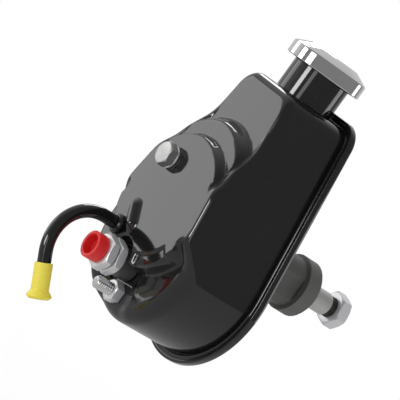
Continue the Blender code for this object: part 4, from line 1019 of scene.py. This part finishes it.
    def build_neck(self) -> Piece:
        """Make the filler tube with its inturned, notched mouth.

        Returns:
            The neck.
        """
        base, top = self.top_height + self.neck_gap, self.neck_top
        inner = self.neck_radius - self.neck_wall
        outside = rounded([(self.neck_radius, base), (self.neck_radius, top),
                           (self.neck_mouth, top)], self.neck_bend, 6)
        inside = rounded([(self.neck_mouth, top - self.neck_wall),
                          (inner, top - self.neck_wall), (inner, base)], self.neck_bend / 2)
        neck = turned("filler_neck_tube", outside + inside,
                      (0.0, FLANGE + self.neck_centre, 0.0), (0, 0, 1), 144, Shade.MOULDED)
        half_x, half_y = self.slot_half
        corners = [(sx * half_x, FLANGE + self.neck_centre + sy * half_y, z)
                   for z in (top - self.slot_reach, top + self.slot_reach)
                   for sx, sy in ((-1, -1), (1, -1), (1, 1), (-1, 1))]
        slot = make_piece("bayonet_slot", np.array(corners),
                          [(3, 2, 1, 0), (4, 5, 6, 7), *ring_faces(2, 4)])
        cut_away(neck, slot, Shade.MACHINED)
        return neck

    def build(self) -> None:
        """Build and dress the reservoir."""
        dress(self.build_can(), ENAMEL, "pump", "reservoir_can")
        dress(self.build_front_plate(), ENAMEL, "pump", "reservoir_front_plate")
        dress(self.build_neck(), ENAMEL, "pump", "filler_neck")


@dataclass
class FillerCap:
    """Chromed cap: grip flats, skirt, sloping shoulders and a flat crown."""

    half_length: float = 29.0
    half_width: float = 23.1
    skirt_bottom: float = 130.6
    skirt: float = 9.8
    rise: float = 5.0
    shoulder: float = 10.5
    sheet: float = 1.2
    turn: float = math.radians(55.0)
    centre: float = FLANGE + 28.0
    crown_run: float = 6.0
    sheet_step: float = 0.7
    corner_power: float = 5.0
    least_sine: float = 1e-3
    count: int = 240

    def outline(self, inset: float) -> Array:
        """Distances from the cap's axis to its outline, softened at the corners.

        Args:
            inset: How far inside the outline.

        Returns:
            The distances.
        """
        power = self.corner_power
        sine = np.abs(np.sin(directions(self.count)))
        flat = (self.half_width - inset) / np.maximum(sine, self.least_sine)
        return ((self.half_length - inset) ** -power + flat ** -power) ** (-1.0 / power)

    def build(self) -> None:
        """Build and dress the cap."""
        top, crown = self.skirt + self.rise, self.shoulder + self.crown_run
        levels = rounded([(0.9, 0.0), (0.0, 0.6), (0.0, self.skirt), (self.shoulder, top),
                          (crown, top)], 0.9, 5)
        under = [(crown, top - self.sheet), (self.shoulder, top - self.sheet),
                 (self.sheet, self.skirt - self.sheet_step), (self.sheet, 0.0)]
        turns = directions(self.count) + self.turn
        rings = []
        for inset, height in under + levels:
            reach = self.outline(inset)
            rings.append(np.stack([reach * np.cos(turns), self.centre + reach * np.sin(turns),
                                   np.full(self.count, self.skirt_bottom + height)], 1))
        faces = ring_faces(len(rings), self.count) + end_faces(len(rings), self.count)
        cap = make_piece("filler_cap_pressing", np.concatenate(rings), faces, Shade.MACHINED)
        dress(cap, CHROME, "cap", "filler_cap")


@dataclass
class DriveShaft:
    """Drive shaft with its threaded nose, and the nut on it."""

    shaft_radius: float = 8.5
    rotor_end: float = 145.9
    shaft_end: float = 152.4
    ring_groove: Point = (0.8, 1.8)
    chamfer: float = 0.6
    thread_radius: float = 7.8
    thread_root: float = 6.5
    thread_depth: float = 0.95
    thread_pitch: float = 1.5
    thread_length: float = 16.0
    nut_turn: float = math.radians(12.0)
    nut_gap: float = 0.1
    nut_flats: float = 23.8
    nut_start: float = 1.0
    nut_end: float = 10.5

    def build(self) -> None:
        """Build and dress the shaft and its nut."""
        dress(Thread("shaft_nose_thread", self.thread_radius, self.thread_depth,
                     self.thread_pitch, 0.0, self.thread_length - self.chamfer).build(),
              BLACKED, "shaft")
        dress(HexBody("shaft_nut_crowned", self.nut_flats, self.nut_start, self.nut_end,
                      self.nut_turn, self.thread_radius + self.nut_gap).build(),
              ZINC, "shaft", "shaft_nut")
        r, root, run = self.shaft_radius, self.thread_root, self.thread_length
        floor, after = r - self.ring_groove[0], self.rotor_end + self.ring_groove[1]
        profile = [(root, 2.0), (root, run - 0.5), (r - self.chamfer, run),
                   (r, run + self.chamfer), (r, self.rotor_end), (floor, self.rotor_end),
                   (floor, after), (r, after), (r, self.shaft_end - 1.0),
                   (r - 1.0, self.shaft_end)]
        dress(turned("drive_shaft_bar", profile, on_axis((0.0, 0.0)), closed=False),
              STEEL, "shaft", "drive_shaft")


@dataclass
class RearPorts:
    """Pressure union with its plug, the stud with its nut, and the bolt."""

    union: Point = (6.0, -49.5)
    union_flats: float = 23.8
    seat: float = 165.1
    collar_radius: float = 10.8
    collar: float = 14.0
    inner_hex: float = 6.7
    groove: float = 1.0
    outer_hex: float = 6.5
    union_turn: float = math.radians(13.0)
    nut_turn: float = math.radians(30.0)
    bore: float = 4.2
    shank: Point = (8.0, 155.0)
    chamfer: float = 0.6
    stud: Point = (1.0, -68.5)
    stud_radius: float = 4.7
    stud_foot: float = 146.0
    stud_tip: float = 185.3
    stud_depth: float = 0.92
    stud_pitch: float = 1.75
    stud_nut: float = 7.0
    nut_gap: float = 0.05
    stud_flats: float = 14.3
    bolt: Point = (20.0, 27.0)
    bolt_flats: float = 15.8
    bolt_turn: float = math.radians(25.0)
    bolt_face: float = 181.1
    bolt_foot: float = 164.9
    bolt_stem: float = 4.7
    washer: Point = (5.0, 8.5)
    washer_thick: float = 1.5
    head: Point = (1.8, 8.0)

    def build_union(self) -> None:
        """Build the union as two crowned hexes on one turned core."""
        start = self.seat + self.collar
        middle = start + self.inner_hex
        end = middle + self.groove + self.outer_hex
        for name, low, high in (("union_inner_hex", start, middle),
                                ("union_outer_hex", middle + self.groove, end)):
            dress(HexBody(name, self.union_flats, low, high, self.union_turn, self.bore,
                          place=self.union).build(), ZINC, "pump", "outlet_union")
        wide, (thin, foot) = self.collar_radius, self.shank
        core = turned("union_core", [(self.bore, foot), (thin, foot), (thin, self.seat),
                                     (wide - self.chamfer, self.seat),
                                     (wide, self.seat + self.chamfer), (wide, end - 2.0),
                                     (self.bore, end - 2.0)], on_axis(self.union))
        dress(core, BLACKED, "pump", "outlet_union")

    def build_stud(self) -> None:
        """Build the threaded stud and its nut."""
        dress(Thread("rear_stud_thread", self.stud_radius, self.stud_depth, self.stud_pitch,
                     self.stud_foot, self.stud_tip, self.stud).build(),
              CHROME, "pump", "rear_stud")
        dress(HexBody("stud_nut_crowned", self.stud_flats, self.seat,
                      self.seat + self.stud_nut, self.nut_turn,
                      self.stud_radius + self.nut_gap, crown_start=False,
                      place=self.stud).build(), ZINC, "pump", "stud_nut")

    def build_bolt(self) -> None:
        """Build the bolt's head and its washer."""
        face, foot, wide = self.bolt_face, self.bolt_foot, self.bolt_stem
        (inner, outer), top = self.washer, face + self.washer_thick
        dress(turned("bolt_washer_ring", rounded(
            [(inner, face), (outer, face), (outer, top), (inner, top)], 0.35, 3),
            on_axis(self.bolt)), ZINC, "pump", "bolt_washer")
        dress(HexBody("rear_bolt_head", self.bolt_flats, face + self.head[0],
                      face + self.head[1], self.bolt_turn, crown_start=False,
                      place=self.bolt).build(), BOLT_ZINC, "pump", "rear_bolt")
        stem = turned("rear_bolt_stem", [(0.0, foot), (wide - self.chamfer, foot),
                                         (wide, foot + self.chamfer), (wide, face + 2.0),
                                         (0.0, face + 2.0)], on_axis(self.bolt), closed=False)
        dress(stem, ZINC, "pump", "rear_bolt")

    def build_plug(self) -> None:
        """Build the red plug with its deep cup."""
        seat = self.seat + self.collar + self.inner_hex + self.groove + self.outer_hex
        outside = rounded([(0.0, -6.0), (3.3, -6.0), (3.9, -4.8), (3.9, 0.3), (9.4, 0.3),
                           (9.75, 1.4), (9.75, 9.5), (7.2, 9.5), (6.6, 2.7), (0.0, 2.7)],
                          0.5)
        plug = turned("port_plug_cup", outside, on_axis(self.union, seat), closed=False)
        dress(plug, RED, "port_plug", "port_plug")

    def build(self) -> None:
        """Build and dress everything on the rear."""
        self.build_union()
        self.build_stud()
        self.build_bolt()
        self.build_plug()


@dataclass
class ReturnTube:
    """Bent steel tube with its collar and its yellow cap."""

    place: Triple = (24.3, 180.8, -31.2)
    radius: float = 4.76
    wall: float = 1.0
    straight: float = 14.1
    bend: float = 31.5
    angle: float = math.radians(109.0)
    tilt: float = math.radians(20.0)
    tail: float = 24.0
    inside: float = 5.5
    collar_gap: float = 0.3
    sides: int = 48
    stations: int = 74
    out: Vector = field(default_factory=lambda: Vector((0.0, 1.0, 0.0)))

    @property
    def down(self) -> Vector:
        """Direction that the tube bends towards."""
        return Vector((-math.sin(self.tilt), 0.0, -math.cos(self.tilt)))

    @property
    def length(self) -> float:
        """Length of the centre line outside the can."""
        return self.straight + self.bend * self.angle + self.tail

    def spot(self, distance: float) -> tuple[Vector, Vector]:
        """Point and direction on the tube's centre line.

        Args:
            distance: Distance from the plateau's face.

        Returns:
            The point and the direction.
        """
        down, start = self.down, Vector(self.place)
        if distance <= self.straight:
            return start + self.out * distance, self.out
        turn = min((distance - self.straight) / self.bend, self.angle)
        point = (start + self.out * (self.straight + self.bend * math.sin(turn))
                 + down * self.bend * (1.0 - math.cos(turn)))
        heading = self.out * math.cos(turn) + down * math.sin(turn)
        beyond = max(distance - self.straight - self.bend * self.angle, 0.0)
        return point + heading * beyond, heading

    def build_tube(self) -> Piece:
        """Make the bent tube with its open end.

        Returns:
            The tube.
        """
        stations = np.concatenate([[-self.inside, 0.0],
                                   np.linspace(2.0, self.length, self.stations)])
        side = self.out.cross(self.down)
        turns = directions(self.sides)
        rings = []
        for radius, run in ((self.radius, stations), (self.radius - self.wall, stations[::-1])):
            for distance in run:
                point, heading = self.spot(distance)
                across = heading.cross(side)
                rings.append(np.array(point) + radius * (np.cos(turns)[:, None] * np.array(side)
                                                         + np.sin(turns)[:, None]
                                                         * np.array(across)))
        return make_piece("return_tube_bend", np.concatenate(rings),
                          ring_faces(len(rings), self.sides, True), Shade.MACHINED)

    def build(self) -> None:
        """Build and dress the tube, its collar and its cap."""
        dress(self.build_tube(), ENAMEL, "pump", "return_tube")
        face, bore = self.place[1] + self.collar_gap, self.radius + self.collar_gap
        collar = turned("tube_collar_bead", rounded(
            [(bore, face), (7.2, face), (7.2, face + 3.0), (5.6, face + 4.5),
             (bore, face + 4.5)], 1.0, 5),
            on_axis((self.place[0], self.place[2])), shade=Shade.MOULDED)
        dress(collar, ENAMEL, "pump", "tube_collar")
        end, heading = self.spot(self.length)
        profile = rounded([(0.0, 0.3), (5.06, 0.3), (5.06, -17.0), (6.16, -17.0), (6.16, 1.5),
                           (7.9, 3.7), (8.5, 4.9), (8.5, 5.9), (6.5, 7.5), (0.0, 7.5)], 0.6)
        cap = turned("tube_end_cap", profile, tuple(end), tuple(heading), closed=False,
                     shade=Shade.MOULDED)
        dress(cap, YELLOW, "tube_cap", "tube_cap")


@dataclass
class KeptSolids:
    """Solids that stay as they are and only get their finish."""

    looks: dict[str, Finish] = field(default_factory=lambda: {
        "pump_housing": CASTING, "cap_lock_plate": ZINC, "cap_rivet": ZINC, "dipstick": ZINC,
        "cap_gasket": RUBBER, "shaft_seal": RUBBER, "end_plate_seal": RUBBER,
        "union_seal": RUBBER, "housing_seal": RUBBER, "shaft_bushing": BRONZE,
        "rotor_snap_ring": SPRING, "end_plate_spring": SPRING,
        "end_plate_retaining_ring": SPRING, "relief_spring": SPRING, "valve_spring": SPRING,
        "filings_magnet": SPRING})

    def build(self) -> None:
        """Dress each solid that still shows."""
        for name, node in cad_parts.items():
            if node.hide_render:
                continue
            finish = self.looks.get(name, STEEL)
            node.data.materials.clear()
            node.data.materials.append(finish.material())
            LOG.info("%s: keeps its solid, finish %s", name, finish.name)


# Studio


@dataclass(frozen=True)
class Lamp:
    """A soft area light that faces the pump, with its sizes in metres."""

    name: str
    towards: Triple
    distance: float
    size: Point
    power: float
    target: Triple = (0.0, 0.13, 0.0)

    def build(self) -> None:
        """Add the light to the scene."""
        data = bpy.data.lights.new(self.name, 'AREA')
        data.shape = 'RECTANGLE'
        data.size, data.size_y = self.size
        data.energy = self.power
        light = bpy.data.objects.new(self.name, data)
        away = Vector(self.towards).normalized()
        light.location = Vector(self.target) + away * self.distance
        light.rotation_euler = away.to_track_quat('Z', 'Y').to_euler()
        bpy.context.collection.objects.link(light)


@dataclass
class Studio:
    """Floor, world, soft lights and the camera."""

    azimuth: float = 235.6
    elevation: float = 4.8
    roll: float = 35.7
    distance: float = 1466.0
    scale: float = 1.457
    anchor_pixel: Point = (237.6, 249.5)
    half_frame: float = 200.0
    sensor: float = 36.0
    clip: Point = (0.05, 60.0)
    gloss_ramp: Point = (-0.12, 0.50)
    gloss_gain: float = 0.38
    gloss_base: float = 0.22
    soft_level: float = 0.85
    floor_height: float = -260.0
    floor_reach: float = 1500.0
    floor_sides: int = 96
    floor_grey: float = 0.86
    floor_rough: float = 0.9
    floor_far: Point = (0.5, 1.2)
    floor_seen: float = 0.80
    floor_gloss: float = 0.95
    floor_dim: float = 0.56
    lamps: tuple[Lamp, ...] = (
        Lamp("rear_softbox", (0.8165, 0.5717, -0.02), 1.6, (0.7, 1.2), 3.8),
        Lamp("front_softbox", (-0.38, -0.92, -0.05), 2.0, (0.7, 1.2), 6.0),
        Lamp("back_panel", (-0.03, 0.99, 0.0), 2.6, (0.7, 0.7), 17.0),
        Lamp("cap_panel", (-0.50, 0.86, 0.0), 2.0, (0.45, 1.0), 2.8),
        Lamp("top_softbox", (0.72, -0.24, 0.66), 2.0, (0.8, 0.8), 9.0))

    def axes(self) -> tuple[Vector, Vector, Vector]:
        """Camera directions: right, up and back.

        Returns:
            The three unit vectors.
        """
        a, e, r = (math.radians(v) for v in (self.azimuth, self.elevation, self.roll))
        back = Vector((math.sin(a) * math.cos(e), -math.cos(a) * math.cos(e), math.sin(e)))
        up = (Vector((0, 0, 1)) - back * back.z).normalized()
        right = (-back).cross(up)
        return (right * math.cos(r) + up * math.sin(r),
                up * math.cos(r) - right * math.sin(r), back)

    def build_camera(self) -> None:
        """Place the camera at the photograph's angle."""
        right, up, back = self.axes()
        focal = self.scale * self.distance
        x = (self.anchor_pixel[0] - self.half_frame) / focal * self.distance
        y = -(self.anchor_pixel[1] - self.half_frame) / focal * self.distance
        place = Vector((0.0, FLANGE, 0.0)) - (right * x + up * y - back * self.distance)
        data = bpy.data.cameras.new("camera")
        data.sensor_width = self.sensor
        data.lens = focal / (2.0 * self.half_frame) * self.sensor
        data.clip_start, data.clip_end = self.clip
        camera = bpy.data.objects.new("camera", data)
        turn = Matrix((right, up, back)).transposed().to_4x4()
        camera.matrix_world = Matrix.Translation(place * MM) @ turn
        bpy.context.collection.objects.link(camera)
        bpy.context.scene.camera = camera

    def build_world(self) -> None:
        """Make the world white to the camera, with a dark side for gloss."""
        world = bpy.data.worlds.new("studio")
        bpy.context.scene.world = world
        world.use_nodes = True
        world.node_tree.nodes.clear()
        maker = NodeMaker(world.node_tree)
        output = maker.add("ShaderNodeOutputWorld")
        split = maker.add("ShaderNodeSeparateXYZ")
        maker.link(maker.add("ShaderNodeTexCoord").outputs["Generated"], split.inputs[0])
        bright = maker.ramp(split.outputs["X"], *self.gloss_ramp)
        level = maker.math('MULTIPLY_ADD', bright, self.gloss_gain, self.gloss_base)
        gloss, soft, white = (maker.add("ShaderNodeBackground") for _ in range(3))
        for node, strength in ((gloss, level), (soft, self.soft_level), (white, 1.0)):
            node.inputs["Color"].default_value = (1.0, 1.0, 1.0, 1.0)
            maker.value(node, "Strength", strength)
        path = maker.add("ShaderNodeLightPath")
        lit = maker.blend(path.outputs["Is Glossy Ray"], soft, gloss)
        seen = maker.blend(path.outputs["Is Camera Ray"], lit, white)
        maker.link(seen.outputs[0], output.inputs["Surface"])

    def build_floor(self) -> None:
        """Lay a pale floor that is white where nothing shades it."""
        turns = directions(self.floor_sides)
        rim = np.stack([self.floor_reach * np.cos(turns), self.floor_reach * np.sin(turns),
                        np.full(turns.shape, self.floor_height)], 1)
        floor = make_piece("floor", rim, [range(self.floor_sides)], Shade.SMOOTH)
        made = bpy.data.materials.new("look_floor")
        made.use_nodes = True
        maker = NodeMaker(made.node_tree)
        shader = made.node_tree.nodes["Principled BSDF"]
        shader.inputs["Base Color"].default_value = (*[self.floor_grey] * 3, 1.0)
        shader.inputs["Roughness"].default_value = self.floor_rough
        shader.inputs["Specular IOR Level"].default_value = 0.0
        glow = maker.add("ShaderNodeEmission")
        path = maker.add("ShaderNodeLightPath").outputs
        away = maker.add("ShaderNodeVectorMath", operation='LENGTH')
        maker.link(maker.add("ShaderNodeTexCoord").outputs["Object"], away.inputs[0])
        far = maker.ramp(away.outputs["Value"], *self.floor_far)
        seen = maker.math('MULTIPLY_ADD', far, 1.0 - self.floor_seen, self.floor_seen)
        seen = maker.math('MULTIPLY', seen, path["Is Camera Ray"])
        share = maker.math('MULTIPLY_ADD', path["Is Glossy Ray"], self.floor_gloss, seen)
        level = maker.math('MULTIPLY_ADD', path["Is Glossy Ray"], -self.floor_dim, 1.0)
        maker.link(level, glow.inputs["Strength"])
        mixed = maker.blend(share, shader, glow)
        output = next(n for n in made.node_tree.nodes if n.type == 'OUTPUT_MATERIAL')
        maker.link(mixed.outputs[0], output.inputs["Surface"])
        floor.data.materials.append(made)

    def build(self) -> None:
        """Set up the camera, the world, the floor and the lights."""
        bpy.context.scene.view_settings.view_transform = 'Standard'
        self.build_camera()
        self.build_world()
        self.build_floor()
        for lamp in self.lamps:
            lamp.build()


def main() -> None:
    """Build the looks in order and report each piece."""
    logging.basicConfig(level=logging.INFO, format="%(name)s %(message)s")
    for part in (Studio(), Reservoir(), FillerCap(), DriveShaft(), RearPorts(), ReturnTube(),
                 KeptSolids()):
        LOG.info("building %s", type(part).__name__)
        part.build()


if __name__ == "__main__":
    main()
